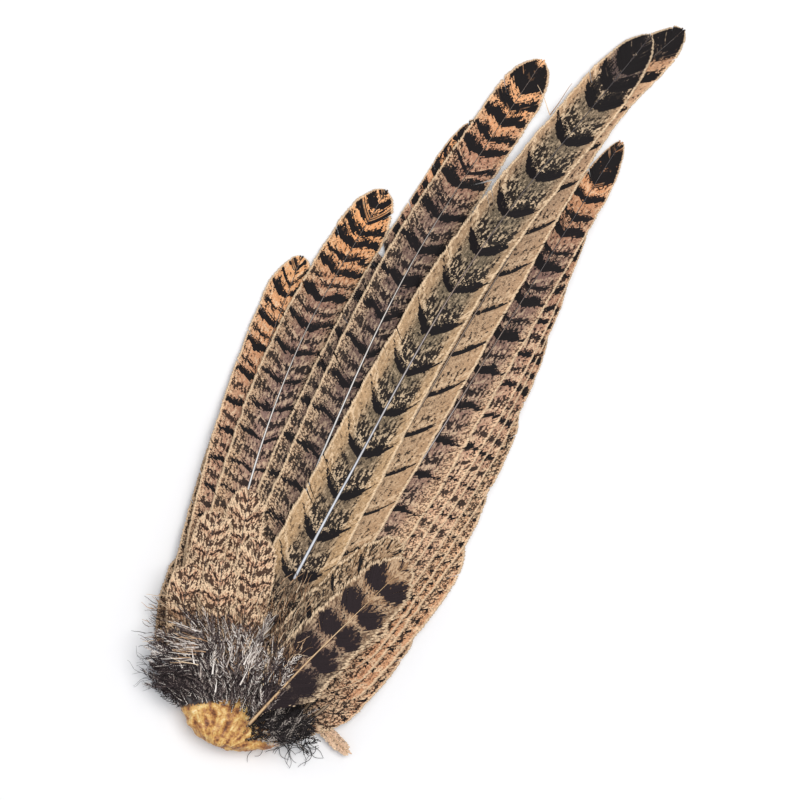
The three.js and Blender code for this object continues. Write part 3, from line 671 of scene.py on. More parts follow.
        beat=[(0, 0.1, 0, 0), (0.17, 0.2, 0.4, 0.2), (0.23, 0.1, 0.8, 0.4), (0.36, 0.4, 0.1, 0.3),
              (0.5, 0.4, 0, 0.2), (1, 0.15, 0, 0)]),
    "blotched": dict(
        pitch=10.4, first=8.0, thick=7.0, warp=1.8, comb=1.2, soft=0.07, black="#241A1D",
        depth=0.4, pale=0.42,
        ground=[(0, "#352B2C"), (0.24, "#453733"), (0.42, "#72574A"), (0.6, "#85674F"), (0.8, "#987556"),
                (1, "#967355")],
        edge=[(0, "#453834"), (0.25, "#64503F"), (0.6, "#84664C"), (1, "#8D6D50")],
        across=[(9.6, 0, 0.7, 1, -7.4), (8.2, 0.25, 0.6, 0.8, -6.2), (7, 0.75, 0.3, 0.4, -6.6),
                (4.4, 1, 0.1, 0, -4.2), (2, 0.92, 0.1, 0, -1.5), (0.7, 0.55, 0.1, 0, 0.7),
                (-0.7, 0.55, 0.1, 0, 0.7), (-2, 0.92, 0.1, 0, -1.5), (-4.4, 1, 0.1, 0, -4.2),
                (-7, 0.75, 0.3, 0.4, -6.6), (-8.2, 0.25, 0.6, 0.8, -6.2), (-9.6, 0, 0.7, 1, -7.4)],
        along=[(0, 2.1, 1.2, 0.1, 1.4), (0.2, 1.6, 1, 0.3, 0.4), (0.4, 1.25, 0.8, 0.6, 0.1),
               (0.85, 1.05, 0.8, 0.6, 0), (0.95, 0.4, 0.8, 0.6, 0), (1, 0.1, 0.8, 0.6, 0)],
        beat=[(0, 0, 0, 0), (0.6, 0, 0.2, 0.2), (0.68, 0, 0.7, 0.5), (0.88, 0, 0.6, 0.5),
              (0.95, 0.2, 0.1, 0.2), (1, 0.4, 0, 0)]),
    "buff": dict(
        pitch=6.0, first=30, thick=0.1, warp=1.0, comb=0.5,
        ground=[(0, "#CFA586"), (1, "#DAB496")],
        edge=[(0, "#E1BEA1"), (1, "#E7C8AE")],
        across=[(3, 0.1, 0.4, 1, 0), (0, 0.1, 0.5, 0, 0), (-3, 0.1, 0.4, 1, 0)],
        along=[(0, 0.2, 0.6, 0.6, 0), (1, 0.2, 0.6, 0.6, 0)],
        beat=[(0, 0.1, 0.3, 0), (1, 0.1, 0.3, 0)]),
}
REACH_SPAN = 32.0   # width in mm that the across ramp covers, shaft in the middle
SHIFT_SPAN = 16.0   # mm of carry that the ramp's alpha covers, nought in the middle
MOST = 4.0          # strengths along the feather are kept as a share of this


def vane_material(name, look):
    """Keratin of a feather's vane, dried: brown and black pigment in each barb, satin. Bars follow the
    barbs, and flecks cross a few barbs at a time, with edges stepped from one barb to the next. A painted
    shadow line runs along the vane's very edge, and some pale barbs in black tips stand for gaps and painted
    glints."""
    made, tree, surface = new_material("feather_vane_" + name)
    spot = attribute(tree, "place", out=1)
    across, root, share = add(tree, "SeparateXYZ", spot).node.outputs
    strand, reach = attribute(tree, "strand"), attribute(tree, "reach")

    side = calc(tree, "MULTIPLY_ADD", across, 1 / REACH_SPAN, 0.5)
    over_ramp = ramp(tree, side, [(0.5 + mm / REACH_SPAN, (*v[:3], 0.5 + v[3] / SHIFT_SPAN))
                                  for mm, *v in look["across"]])
    bar_wide, worm_wide, edge_share = add(tree, "SeparateColor", over_ramp).node.outputs
    carry = over_ramp.node.outputs[1]
    along_ramp = ramp(tree, share, [(at, [x / MOST for x in v]) for at, *v in look["along"]])
    bar_long, worm_long, cream_long = add(tree, "SeparateColor", along_ramp).node.outputs
    half_long = along_ramp.node.outputs[1]

    # Bars wander a little, and their edges are combed by the barbs.
    jog = calc(tree, "SUBTRACT", strand, 0.5)
    wander = calc(tree, "SUBTRACT", cloud(tree, spot, (0.2, 0.13, 0.0), 2.0), 0.5)
    moved = calc(tree, "MULTIPLY_ADD", jog, look["comb"], root)
    moved = calc(tree, "MULTIPLY_ADD", wander, look["warp"] * 2.2, moved)
    moved = calc(tree, "MULTIPLY_ADD", carry, -SHIFT_SPAN, moved)
    turns = calc(tree, "MULTIPLY_ADD", moved, 1 / look["pitch"],
                 (SHIFT_SPAN / 2 - look["first"]) / look["pitch"])
    beat_at = calc(tree, "FRACT", turns)
    half_at = calc(tree, "FRACT", calc(tree, "ADD", turns, 0.5))
    beat_ramp = ramp(tree, beat_at, [(at, (*v, 1)) for at, *v in look["beat"]])
    teeth, cream_line, cream_flecks = add(tree, "SeparateColor", beat_ramp).node.outputs

    # Flecks are three times as long down the feather as across it, and the worming is finer.
    stepped = add(tree, "CombineXYZ", calc(tree, "MULTIPLY_ADD", jog, 0.3, across), root, share)
    fleck = cloud(tree, stepped, (1.45, 0.45, 0.0), 1.0)
    worm = cloud(tree, stepped, look.get("worm", WORM), 0.6)
    chance = calc(tree, "MULTIPLY_ADD", worm, 0.3, fleck)
    chance = add(tree, "MapRange", chance, 0.51, 0.79, 0.0, 1.0)
    wormed = calc(tree, "MULTIPLY", calc(tree, "MULTIPLY", worm_wide, worm_long), MOST)

    # Bars: from a sharp side towards the quill to their own thickness.
    wobble = calc(tree, "MULTIPLY_ADD", calc(tree, "SUBTRACT", fleck, 0.5), 2.0, 1.0)
    thick = calc(tree, "MULTIPLY", bar_wide, wobble)
    thick = calc(tree, "MULTIPLY", thick, MOST * look["thick"] / look["pitch"])
    full_bar = calc(tree, "SUBTRACT", calc(tree, "MULTIPLY", thick, bar_long), beat_at)
    half_bar = calc(tree, "SUBTRACT", calc(tree, "MULTIPLY", thick, half_long), half_at)
    soft = look.get("soft", 0.01)
    bar = add(tree, "MapRange", calc(tree, "MAXIMUM", full_bar, half_bar), -soft, soft, 0.0, 1.0)
    inner = add(tree, "MapRange", bar_wide, 0.2, 0.65, 0.0, 1.0)
    near = calc(tree, "MULTIPLY", calc(tree, "MULTIPLY", inner, worm_long), MOST)
    specks = calc(tree, "SUBTRACT", calc(tree, "MULTIPLY", teeth, near), chance)
    specks = add(tree, "MapRange", specks, -0.08, 0.05, 0.0, 0.93)
    off = calc(tree, "ABSOLUTE", calc(tree, "SUBTRACT", worm, 0.5))
    net = calc(tree, "SUBTRACT", calc(tree, "MULTIPLY", wormed, 0.05), off)
    net = add(tree, "MapRange", net, -0.02, 0.012, 0.0, look.get("depth", 0.75))
    net = calc(tree, "MULTIPLY", net, add(tree, "MapRange", wormed, 0.0, 0.25, 0.0, 1.0))
    dark = calc(tree, "MAXIMUM", bar, calc(tree, "MAXIMUM", specks, net))
    # Here and there some pale barbs in the black of a tip, standing for gaps between the barbs and for
    # painted glints on them.
    bare = calc(tree, "MULTIPLY", add(tree, "MapRange", strand, 0.86, 0.9, 0.0, 0.55),
                add(tree, "MapRange", share, 0.9, 0.93, 0.0, 1.0))
    bare = calc(tree, "MULTIPLY", bare, add(tree, "MapRange", wander, 0.0, 0.06, 0.0, 1.0))
    dark = calc(tree, "SUBTRACT", dark, bare)

    # Cream: a broken line on the tip side of a bar, flecks among the teeth, the ground between the worming,
    # and a rim to the vane.
    line = calc(tree, "MULTIPLY", calc(tree, "MULTIPLY", cream_line, cream_long), MOST)
    flecks = calc(tree, "MULTIPLY", calc(tree, "MULTIPLY", cream_flecks, inner), 1.2)
    lit = calc(tree, "SUBTRACT", calc(tree, "MAXIMUM", line, flecks), calc(tree, "SUBTRACT", 1.0, chance))
    lit = add(tree, "MapRange", lit, -0.25, 0.2, 0.0, look.get("pale", 0.7))
    between = add(tree, "MapRange", off, 0.05, 0.12, 0.0, 0.55)
    cream = calc(tree, "MAXIMUM", lit, calc(tree, "MULTIPLY", between, wormed))
    far_out = calc(tree, "ABSOLUTE", reach)
    cream = calc(tree, "MAXIMUM", cream, add(tree, "MapRange", far_out, 0.9, 0.935, 0.0, 0.85))
    ground = blend(tree, edge_share, ramp(tree, share, look["ground"]), ramp(tree, share, look["edge"]))
    pale = blend(tree, cream, ground, linear(CREAM))

    # The rim has few dark marks. Outside the rim, at the vane's very edge, a thin painted shadow line stands
    # for the shadow that the edge casts.
    dark = calc(tree, "MULTIPLY", dark, add(tree, "MapRange", far_out, 0.9, 0.925, 1.0, 0.25))
    # Painted shadow line along the vane's outermost edge.
    dark = calc(tree, "MAXIMUM", dark, add(tree, "MapRange", far_out, 0.955, 0.985, 0.0, 0.4))
    coat = blend(tree, dark, pale, linear(look.get("black", BLACK)))
    tone = calc(tree, "MULTIPLY_ADD", strand, 0.2, 0.45)
    tone = calc(tree, "MULTIPLY_ADD", cloud(tree, stepped, (3.4, 2.6, 0.0), 1.0), 0.9, tone)
    coat = add(tree, "VectorMath", coat, None, None, tone, operation="SCALE")
    cover(tree, surface, coat, Roughness=0.6, IOR=1.55, Specular_IOR_Level=0.12)
    return made


def shaft_material(name, low, middle, high, sides):
    """Rachis keratin, smooth and glossy: pale along the top, partly its own whitish horn and partly a painted
    highlight, and darker down its sides with painted shade.
    """
    made, tree, surface = new_material("feather_shaft_" + name)
    spot = attribute(tree, "place", out=1)
    share = add(tree, "SeparateXYZ", spot, out=2)
    out = calc(tree, "ABSOLUTE", attribute(tree, "reach"))
    tone = calc(tree, "MULTIPLY_ADD", cloud(tree, spot, (1.0, 0.25, 0.0), 2.0), 0.6, 0.7)
    colour = ramp(tree, share, [(0.0, low), (0.3, low), (0.58, middle), (0.8, high), (1.0, high)])
    # Painted shade: towards the sides of the tube the colour blends into the dark sides colour.
    colour = blend(tree, add(tree, "MapRange", out, 0.3, 0.72, 0.0, 1.0), colour, linear(sides))
    colour = add(tree, "VectorMath", colour, None, None, tone, operation="SCALE")
    cover(tree, surface, colour, Roughness=0.3, IOR=1.55)
    return made


# Kinds of feather: lean is how far a barb runs on for each mm that it goes out, left and right of the shaft,
# ragged and wild are how uneven the barbs are and how much they wave, and base and tip are the half widths of
# the shaft at its ends.
KINDS = {
    "centre": dict(lean={1: 0.7, -1: 1.3}, ragged=0.018, wild=0.0, base=0.98, tip=0.12),
    "side": dict(lean={1: 0.7, -1: 1.0}, ragged=0.018, wild=0.0, base=0.98, tip=0.12),
    "long_covert": dict(lean={1: 1.2, -1: 1.2}, ragged=0.05, wild=0.12, base=0.6, tip=0.08),
    "small": dict(lean={1: 1.0, -1: 1.0}, ragged=0.05, wild=0.12, base=0.3, tip=0.08),
}
KIND_OF = {"centre_top": "centre", "centre_under": "centre", "pale_shaft": "long_covert",
           "blotched": "long_covert", "covert": "small", "buff": "small"}      # the others are side feathers

# Splits where the barbs have come apart: side, distance along, opening, how far it is felt.
SPLITS = {"tail_feather_left_2": [(1, 150, 5.0, 7)], "tail_feather_left_1": [(-1, 185, 1.6, 6)]}
SPLIT_EVERY = 25.0      # one more small chance split for each such length

# Length of shaft that lies deep in coverts and down.
SHAFT_BURIED = {"tail_feather_centre_top": 42.0, "covert_pale_shaft": 24.0}
SHAFT_LIFT = {"pale_shaft": 0.45}      # how far a shaft lies above its plate, where it isn't 0.1
SHAFT_OF = {"centre_top": "grey", "left_1": "white", "left_3": "white", "left_4": "white", "right_1": "grey",
            "pale_shaft": "pale", "blotched": "pale", "buff": "pale"}


def make_feathers():
    vanes = {name: vane_material(name, look) for name, look in FINISHES.items()}
    # The pale low colours of the grey and white shafts are partly the quill's own whitish horn and partly a
    # painted highlight; the last colour of each is painted shade down the shaft's sides.
    shafts = {
        "grey": shaft_material("grey", "#D4D6DC", "#8A7060", "#33282A", "#221E20"),
        "white": shaft_material("white", "#E6E4E2", "#DAD2CA", "#5E4A3C", "#221E20"),
        "brown": shaft_material("brown", "#9A8268", "#6E5644", "#3A2E28", "#2B2422"),
        "pale": shaft_material("pale", "#DAB78C", "#E2C296", "#CCA878", "#A8845C"),
    }
    for number, (name, (points, left, right, kept, tip, finish)) in enumerate(FEATHERS.items()):
        rng = np.random.default_rng(100 + number)
        surface = Surface(name, points, left, right, kept, tip)
        heap = Heap()
        kind = KINDS[KIND_OF.get(finish, "side")]
        for side in (1, -1):
            splits = [(rng.uniform(0.15, 0.98) * surface.length, rng.uniform(0.3, 1.1), rng.uniform(2, 5))
                      for _ in range(int(surface.length / SPLIT_EVERY) + 1)]
            splits += [split[1:] for split in SPLITS.get(name, []) if split[0] == side]
            barbs(heap, surface, side, rng, splits, kind["lean"][side], kind["ragged"], kind["wild"])
        shaft(heap, surface, kind["base"], kind["tip"], start=SHAFT_BURIED.get(name, 0.0),
              lift=SHAFT_LIFT.get(finish, 0.1))
        piece = heap.mesh(name + "_barbs", [vanes[finish], shafts[SHAFT_OF.get(finish, "brown")]])
        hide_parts(name)
        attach(piece, "root")


# ---------------------------------------------------------------- down

BACK_LINE = [(-36, -5), (-22, 0), (-7, 4), (9, 6)]      # the middle of the down on the back, left to right
BACK_HALF = 11.0        # the down reaches about so far to each side of that line
BACK_TURNS = ([0, 0.2, 0.45, 0.7, 1.0], [168, 138, 106, 84, 60])    # share of that line, degrees
TUFT_LINE = [(5, -8.5), (11, -5.5), (17, -2.5), (23, 1.5)]
TUFT_HALF = 5.5
TUFT_TURNS = [60, 42, 28, 10, -20]
LAYERS = 3
LAYER_RISE = 0.45   # from one layer of plumes to the next
SUNK = 0.9          # how deep the lowest layer starts in what lies under it
HANG = 5.5          # height of down with nothing under it
# Down over the stub's left edge: the ends of its lowest and of its highest row.
EDGE_LOW = np.array([(-26.0, -7.5), (-14.8, -15.2)])
EDGE_HIGH = np.array([(-25.0, 0.7), (-9.5, -7.4)])
# White quills of small down feathers: x, y, degrees, length.
WHITE_QUILLS = [(-15.4, -2.2, 88, 9), (-12.6, 0.9, 84, 7.5), (-19.5, 0.5, 100, 5), (-10, 5.4, 70, 7),
                (-5.7, 9.2, 62, 6), (-22, -3, 118, 6), (-8.5, -4, 82, 4), (-3, 3, 66, 5)]
STREAK = np.array([(-3.9, 9.6), (-7.0, 25.0)])      # white down beside the foot of the centre feathers
SWEPT = np.array([(-24.0, 11.5), (-20.0, 1.0)])     # where the long pale barbs start that point left
FOOT = (-4.5, 12.0, 32.0)       # middle, start and length of the brown barbs on the centre feathers' foot
LOOSE_BELOW = np.array([20.5, -5.0])    # where barbs curl out below the tuft
STRAY_BARBS = np.array([-21.8, 217.5])      # two barbs crossed in the gap between the long feathers


def down_material(name, tones):
    """Down: loose soft barbs, dull, each of one grey or brown from dark root to pale end."""
    made, tree, surface = new_material("down_" + name)
    blur = cloud(tree, attribute(tree, "place", out=1), (1.2, 1.2, 1.2), 1.0)
    value = calc(tree, "MULTIPLY_ADD", calc(tree, "SUBTRACT", blur, 0.5), 0.5, attribute(tree, "strand"))
    cover(tree, surface, ramp(tree, value, tones), Roughness=0.75, IOR=1.55, Specular_IOR_Level=0.2)
    return made


def curved(start, angle, step):
    """x and y of curves from start, step by step in the directions of angle."""
    return (start[0] + np.cumsum(np.cos(angle), axis=1) * step - np.cos(angle[:, :1]) * step,
            start[1] + np.cumsum(np.sin(angle), axis=1) * step - np.sin(angle[:, :1]) * step)


def plume(heap, rng, start, z, turn, length, spread, tone, rows, shaft_tone, curl, half):
    """One down feather: a thin shaft with soft wavy barbs, lying from start in direction turn."""
    s = np.linspace(0, 1, 8)
    heading = turn + rng.normal(0, 0.35) * s
    x = start[0] + np.cumsum(np.cos(heading)) * length / 8
    y = start[1] + np.cumsum(np.sin(heading)) * length / 8
    height = np.maximum(0.4, z + 0.5 * np.sin(s * math.pi))
    path = np.column_stack([x, y, height])
    ribbons(heap, path[None], 0.11 * (1 - 0.6 * s)[None, :], 0, 0, path[None], 0.0, shaft_tone)
    count = rows * 2
    at = np.repeat(np.linspace(0.05, 0.97, rows), 2) + rng.normal(0, 0.01, count)
    side = np.tile([1, -1], rows)
    sx, sy, sz, sh = (np.interp(at, s, v)[:, None] for v in (x, y, height, heading))
    reach = spread * (0.55 + 0.45 * np.sin(at * math.pi)) * rng.uniform(0.6, 1.15, count)
    t = np.linspace(0, 1, 6)[None, :]
    angle = sh + (side * (1.0 - 0.4 * at))[:, None] - side[:, None] * 0.6 * t
    angle = angle + curl * (rng.normal(0, 0.4, (count, 1)) * t
                            + 0.35 * np.sin(9 * t + rng.uniform(0, 6, (count, 1))))
    bx, by = curved((sx, sy), angle, (reach / 5)[:, None])
    bz = sz + rng.normal(0.1, 0.35, (count, 1)) * t + 0.15 * np.sin(7 * t + rng.uniform(0, 6, (count, 1)))
    strand = np.clip(tone + rng.normal(0, 0.2, (count, 1)) + 0.1 * t, 0, 1)
    place = np.stack([bx, by, np.maximum(0.3, bz)], axis=2)
    ribbons(heap, place, half * (1 - 0.5 * t), 0, 0, place, 0.0, strand)


def threads(heap, rng, starts, z, turns, lengths, tone, slot=0, curl=1.0, half=0.07, steps=9, fall=0.0):
    """Single loose barbs from starts, turned by turns as the camera sees them, with ends that fall."""
    count = len(starts)
    t = np.linspace(0, 1, steps)[None, :]
    angle = turns[:, None] + VIEW_TURN + curl * (rng.normal(0, 0.7, (count, 1)) * t
                                                 + 0.4 * np.sin(6 * t + rng.uniform(0, 6, (count, 1))))
    x, y = curved((starts[:, :1], starts[:, 1:]), angle, (lengths / (steps - 1))[:, None])
    height = np.maximum(0.15, z[:, None] - fall * t + 0.3 * np.sin(5 * t + rng.uniform(0, 6, (count, 1))) * t)
    place = np.stack([x, y, height], axis=2)
    strand = np.clip(tone + rng.normal(0, 0.15, (count, 1)), 0, 1)
    ribbons(heap, place, half * (1 - 0.6 * t), 0, slot, place, 0.0, strand)


def thread(heap, rng, spot, z, turn, length, tone, **look):
    """One loose barb."""
    threads(heap, rng, np.array([spot]), np.array([z]), np.array([turn]), np.array([length]), tone, **look)


def beside(line, share, out):
    """The place out mm to the left of a share of the way along a line."""
    far, run, heading = shaft_line(line)
    at = min(max(share, 0.01), 0.99) * far[-1]
    x, y, hx, hy = (np.interp(at, far, v) for v in (run[:, 0], run[:, 1], heading[:, 0], heading[:, 1]))
    return np.array([x - hy * out, y + hx * out])


def highest(nodes):
    """A function that gives the height in mm of the highest of some nodes under a point."""
    meshes = [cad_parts[node].data for node in nodes]
    trees = [BVHTree.FromPolygons([v.co for v in mesh.vertices], [p.vertices for p in mesh.polygons])
             for mesh in meshes]

    def height(x, y):
        hits = [tree.ray_cast(Vector((x * MM, y * MM, ABOVE)), DOWNWARD)[0] for tree in trees]
        return max([hit.z / MM for hit in hits if hit is not None], default=HANG)
    return height


def back_turn(share):
    return math.radians(np.interp(share, *BACK_TURNS))


def back_plumes(heap, rng, height):
    """The grey plumes: rows on the back, and more that hang over the left edge of the stub."""
    plumes = []
    for layer in range(LAYERS):
        for share in np.linspace(0.16, 0.98, 26):
            for row in np.linspace(np.interp(share, (0.3, 1), (-1.15, -0.75)), 0.5, 6):
                plumes.append((layer, share + rng.normal(0, 0.02), row + rng.normal(0, 0.12), None, 0))
            if layer and 0.3 < share < 0.95:
                plumes.append((layer, share + rng.normal(0, 0.02), rng.uniform(0.6, 1.1), None, 0))
        for u in np.linspace(0, 1, 9):
            low, high = (row[0] * (1 - u) + row[1] * u for row in (EDGE_LOW, EDGE_HIGH))
            for v in np.linspace(0, 1, 4):
                plumes.append((layer, 0.1 + 0.3 * u, -1, low * (1 - v) + high * v + rng.normal(0, 0.6, 2),
                               2.5 + 6.5 * v))
    for layer, share, row, edge, least in plumes:
        spot = beside(BACK_LINE, share, row * BACK_HALF) if edge is None else edge
        z = max(height(*spot) - SUNK, least) + LAYER_RISE * layer
        turn = back_turn(share) + VIEW_TURN + rng.normal(0, 0.22)
        if edge is not None:
            turn += math.radians(22)
        # Paler beside the centre feathers and darker along the stub.
        pale = math.exp(-((share - 0.7) / 0.11) ** 2 - ((row - 0.5) / 0.5) ** 2)
        deep = math.exp(-((row + 1.0) / 0.35) ** 2)
        length = rng.uniform(4, 6.5) if share < 0.3 else rng.uniform(5, 10)
        tone = 0.7 if rng.random() < 0.3 else 0.26
        if edge is not None:
            tone = 0.16
        plume(heap, rng, spot, z + (0.3 if tone > 0.5 else 0), turn, length, rng.uniform(1.0, 2.4),
              tone + 0.3 * pale - 0.1 * deep + rng.normal(0, 0.1), rows=7,
              shaft_tone=rng.choice([0.2, 0.6, 0.95]), curl=0.6, half=0.125)


def back_threads(heap, rng, height):
    """White quills and streaks on the grey down, and brown barbs where it meets the feathers."""
    for x, y, turn, length in WHITE_QUILLS:
        thread(heap, rng, (x, y), height(x, y) + 1.5, math.radians(turn), length, 1.0, curl=0.1, half=0.27)
    for u in rng.uniform(0, 1, 90):
        spot = STREAK[0] * (1 - u) + STREAK[1] * u + rng.normal(0, 0.7, 2)
        thread(heap, rng, spot, height(*spot) + 1.2, math.radians(66 + rng.normal(0, 14)),
               rng.uniform(2.5, 5), rng.choice([0.7, 0.85, 1.0]), curl=0.4, half=0.13, steps=6)
    for u in rng.uniform(0, 1, 46):
        spot = SWEPT[0] * (1 - u) + SWEPT[1] * u + rng.normal(0, 1.2, 2)
        thread(heap, rng, spot, height(*spot) + 1.0, math.radians(168 + 14 * (u - 0.5) + rng.normal(0, 7)),
               rng.uniform(6, 11), rng.choice([0.15, 0.6, 0.8, 0.95]), slot=int(rng.random() < 0.4),
               curl=0.22, half=0.15, steps=8)
    for share, row in zip(rng.uniform(0.0, 1.15, 700), rng.uniform(0.1, 1.0, 700) ** 1.3 * 1.7):
        spot = beside(BACK_LINE, share, row * BACK_HALF) + rng.normal(0, 1.0, 2)
        turn = back_turn(share) + rng.normal(0, 0.4)
        thread(heap, rng, spot, height(*spot) + 0.25, turn, rng.uniform(2.0, 5.0), 0.28 + rng.normal(0, 0.27),
               slot=1 if rng.random() < 0.3 + 0.5 * row else 0, curl=0.5, half=0.12, steps=5)
    middle, start, long = FOOT
    for x, y in np.column_stack([rng.normal(middle, 4.2, 260), start + long * rng.beta(1.2, 1.9, 260)]):
        turn = math.radians(72 + rng.normal(0, 16))
        thread(heap, rng, (x, y), height(x, y) + 0.45, turn, rng.uniform(2.5, 6.5), 0.3 + rng.normal(0, 0.34),
               slot=1, curl=0.3, half=0.12, steps=5)


def tuft_plumes(heap, rng, height):
    """The short dark plumes at the right of the stub."""
    for layer in range(LAYERS):
        for share in np.linspace(0.03, 0.97, 14):
            for row in (-0.7, -0.2, 0.3, 0.8):
                share_at = share + rng.normal(0, 0.03)
                spot = beside(TUFT_LINE, share_at, (row + rng.normal(0, 0.15)) * TUFT_HALF)
                z = height(*spot) - SUNK + LAYER_RISE * layer
                turn = math.radians(rng.choice(TUFT_TURNS)) + VIEW_TURN + rng.normal(0, 0.2)
                plume(heap, rng, spot, z, turn, rng.uniform(4, 7), rng.uniform(1.0, 2.2),
                      rng.choice([0.05, 0.15, 0.25, 0.85]) + rng.normal(0, 0.08), rows=6, curl=0.7,
                      shaft_tone=rng.choice([0.1, 0.3, 0.95]), half=0.17)


def loose_threads(heap, rng):
    """Barbs that stick out at the left, curl out below the tuft, or lie on their own."""
    starts = np.array([beside(BACK_LINE, share, 0) for share in rng.uniform(0, 0.3, 90)])
    starts = starts + np.column_stack([rng.normal(2.5, 1.5, 90), rng.uniform(-11, 6, 90)])
    threads(heap, rng, starts, rng.uniform(3, 9, 90), np.radians(rng.normal(178, 22, 90)),
            rng.uniform(3, 6.5, 90), 0.15, curl=0.8, fall=3.0)
    starts = LOOSE_BELOW + rng.normal(0, 1, (26, 1)) * np.array([4.6, 3.0]) + rng.normal(0, 0.8, (26, 2))
    threads(heap, rng, starts, rng.uniform(2, 5, 26), np.radians(rng.normal(-92, 18, 26)),
            rng.uniform(5, 10, 26), 0.12, curl=1.2, half=0.13, steps=12, fall=3.5)
    threads(heap, rng, np.array([STRAY_BARBS, STRAY_BARBS]), np.array([7.0, 7.0]),
            np.radians(np.array([108.0, 58.0])), np.array([11.0, 13.0]), 0.62, slot=1, curl=0.15, half=0.17)


def make_down():
    grey = down_material("grey", [(0.0, "#211A1B"), (0.3, "#352B2C"), (0.5, "#584C4C"), (0.7, "#8A7B74"),
                                  (0.88, "#D0C3B8"), (1.0, "#F2EAE2")])
    brown = down_material("brown", [(0.0, "#2A1F1B"), (0.3, "#5E4636"), (0.55, "#987456"), (0.75, "#C49E7A"),
                                    (1.0, "#EBD3B4")])
    dark = down_material("black", [(0.0, "#141112"), (0.45, "#2B2525"), (0.75, "#5A5150"), (1.0, "#BDB2A8")])
    height = highest([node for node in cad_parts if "covert" in node or "centre_top" in node
                      or node in ("down_back", "tail_stub", "down_tuft")])
    back, tuft, loose = Heap(), Heap(), Heap()
    rng = np.random.default_rng(7)
    back_plumes(back, rng, height)
    back_threads(back, rng, height)
    tuft_plumes(tuft, np.random.default_rng(8), height)
    loose_threads(loose, np.random.default_rng(9))
    for heap, name, materials, node in ((back, "down_back_plumes", [grey, brown], "down_back"),
                                        (tuft, "down_tuft_plumes", [dark], "down_tuft"),
                                        (loose, "loose_down_barbs", [dark, brown], None)):
        piece = heap.mesh(name, materials)
        if node:
            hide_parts(node)
        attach(piece, "root")


# ---------------------------------------------------------------- the dried stub

# The quill ends that show along the top of the stub, each from its start to its finish.
QUILL_ENDS = [((2.5, -18.5), (2.7, -1.0)), ((4.6, -13.6), (3.0, -2.4)), ((-4.4, -17.9), (-10.4, -10.9)),
              ((-1.1, -11.6), (-6.6, -7.6)), ((-9.6, -17.8), (-11.4, -13.6)), ((-1.5, -18.0), (-3.6, -9.5)),
              ((7.5, -15.0), (8.6, -6.0)), ((11.5, -11.5), (13.0, -6.5)), ((0.4, -19.0), (-0.9, -10.0)),
              ((-7.0, -16.6), (-9.0, -12.0))]
FAN = (2.5, -24.0)      # the place that the quills fan out from, past the front of the stub
BRUISE = (-1.1, -11.6, 0.0)     # middle of a darker place
BRUISE_REACH = (1.0, 6.5)       # distances from it between which it fades out
LEFT_EDGE = (0.94, -0.5)    # slope and height, at x = 0, of the lines that the down starts behind
RIGHT_EDGE = (-0.45, 0.9)
VOXEL = 0.0006              # metres, size of the remeshed faces
SETTLE_ROUNDS = 4
RIDGE_HALF = 0.85           # how far a quill end swells the skin to each side
RIDGE_FROM = (3.0, 8.0)     # heights between which the swelling fades in
RIDGE_RISE, FOLD_RISE, WRINKLE_RISE = 0.9, 0.5, 0.75
SHRUNK = 0.45               # how far the skin has drawn in all over
WRINKLE_SIZE = 3.6          # mm of the widest wrinkles
FOLDS = 9                   # folds for each radian round FAN


def stub_material():
    """Dried skin and fat of the tail stub: ochre, waxy and half see-through over the quill ends, brown
    where the skin has shrunk between them, and nearly black where the down grows out."""
    made, tree, surface = new_material("dried_skin_and_fat")
    spot = add(tree, "VectorMath", add(tree, "TexCoord", out=3), None, None, 1 / MM, operation="SCALE")
    x, y, _ = add(tree, "SeparateXYZ", spot).node.outputs
    from_fan = add(tree, "VectorMath", spot, (*FAN, 0.0), operation="SUBTRACT")
    sideways, ahead, _ = add(tree, "SeparateXYZ", from_fan).node.outputs
    turn = calc(tree, "MULTIPLY", calc(tree, "ARCTAN2", sideways, ahead), 8.0)
    away = calc(tree, "MULTIPLY", ahead, 0.12)
    streak = add(tree, "TexNoise", add(tree, "CombineXYZ", turn, away, 0.0), None, 1.0, 2.0)
    lumps = add(tree, "TexNoise", spot, None, 0.45, 3.0)
    grain = add(tree, "TexNoise", spot, None, 1.6, 2.0)
    mixed = calc(tree, "MULTIPLY_ADD", lumps, 0.45, calc(tree, "MULTIPLY", streak, 0.4))
    mixed = calc(tree, "MULTIPLY_ADD", grain, 0.25, mixed)
    mixed = calc(tree, "MULTIPLY_ADD", attribute(tree, "ridge"), 0.12, mixed)
    level = add(tree, "VectorMath", spot, (1.0, 1.0, 0.0), operation="MULTIPLY")
    bruise = add(tree, "VectorMath", level, BRUISE, operation="DISTANCE", out=1)
    mixed = calc(tree, "SUBTRACT", mixed, add(tree, "MapRange", bruise, *BRUISE_REACH, 0.05, 0.0))
    tone = ramp(tree, mixed, [(0.44, "#6A3F22"), (0.5, "#9C6438"), (0.55, "#C08A4E"), (0.61, "#DBAC63"),
                              (0.68, "#F0D08E"), (0.8, "#F8E8C2")])
    edges = [calc(tree, "MULTIPLY_ADD", x, *edge) for edge in (LEFT_EDGE, RIGHT_EDGE)]
    past = calc(tree, "SUBTRACT", y, calc(tree, "MINIMUM", *edges))
    past = calc(tree, "MULTIPLY_ADD", grain, 4.0, past)
    tone = blend(tree, add(tree, "MapRange", past, 1.4, 2.6, 0.0, 1.0), tone, linear("#2C2321"))
    cover(tree, surface, tone, Roughness=0.45, IOR=1.46, Subsurface_Weight=0.15,
          Subsurface_Radius=(0.002, 0.001, 0.0005))
    return made


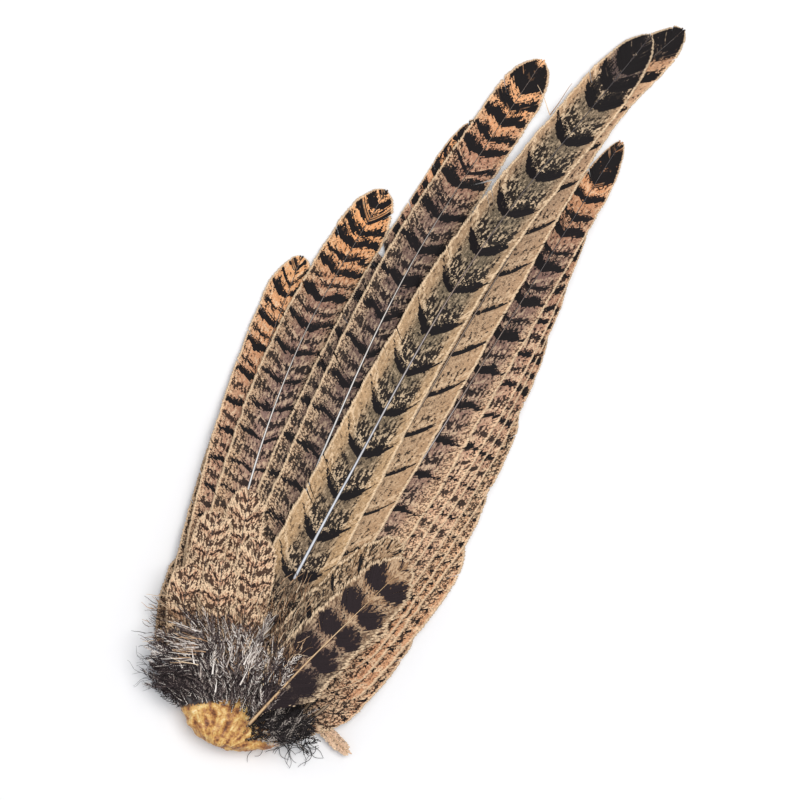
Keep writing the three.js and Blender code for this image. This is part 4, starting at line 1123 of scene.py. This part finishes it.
def make_stub():
    """The stub's block, remeshed, wrinkled and shrunk between the quill ends that show along its top."""
    stub = bpy.data.objects.new("tail_stub_skin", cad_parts["tail_stub"].data.copy())
    bpy.context.scene.collection.objects.link(stub)
    bpy.ops.object.select_all(action="DESELECT")
    stub.select_set(True)
    bpy.context.view_layer.objects.active = stub
    bpy.ops.object.mode_set(mode="EDIT")
    bpy.ops.mesh.select_all(action="SELECT")
    bpy.ops.mesh.remove_doubles(threshold=1e-6)
    bpy.ops.object.mode_set(mode="OBJECT")
    remesh = stub.modifiers.new("remesh", "REMESH")
    remesh.mode, remesh.voxel_size = "VOXEL", VOXEL
    bpy.ops.object.modifier_apply(modifier="remesh")
    settle = stub.modifiers.new("settle", "SMOOTH")
    settle.iterations = SETTLE_ROUNDS
    bpy.ops.object.modifier_apply(modifier="settle")
    mesh = stub.data
    count = len(mesh.vertices)
    co = np.empty(count * 3, np.float32)
    mesh.vertices.foreach_get("co", co)
    co = co.reshape(-1, 3).astype(float) / MM
    normals = np.array([v.normal for v in mesh.vertices])
    ridge = np.zeros(count)
    for start, end in QUILL_ENDS:
        a, run = np.array(start), np.array(end) - np.array(start)
        share = np.clip(((co[:, :2] - a) @ run) / (run @ run), 0, 1)
        away = np.linalg.norm(co[:, :2] - a - share[:, None] * run, axis=1)
        ridge = np.maximum(ridge, np.exp(-(away / RIDGE_HALF) ** 2) * (0.45 + 0.55 * share))
    ridge *= smooth(co[:, 2], *RIDGE_FROM)
    turn = np.arctan2(co[:, 0] - FAN[0], co[:, 1] - FAN[1]) * FOLDS
    folds = np.array([noise.noise(Vector((t, y * 0.15, z * 0.3))) for t, (_, y, z) in zip(turn, co)])
    wrinkles = np.array([noise.fractal(Vector(p) / WRINKLE_SIZE, 0.8, 2.1, 4) for p in co])
    co += normals * (wrinkles * WRINKLE_RISE + folds * FOLD_RISE + ridge * RIDGE_RISE - SHRUNK)[:, None]
    co[:, 2] = np.maximum(co[:, 2], float(cad_box[0].z) / MM)
    mesh.vertices.foreach_set("co", (co * MM).astype(np.float32).ravel())
    mesh.attributes.new("ridge", "FLOAT", "POINT").data.foreach_set("value", ridge.astype(np.float32))
    mesh.update()
    mesh.shade_smooth()
    mesh.materials.clear()
    mesh.materials.append(stub_material())
    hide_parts("tail_stub")
    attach(stub, "root")


set_camera()
set_light()
lay_floor()
make_feathers()
make_stub()
make_down()
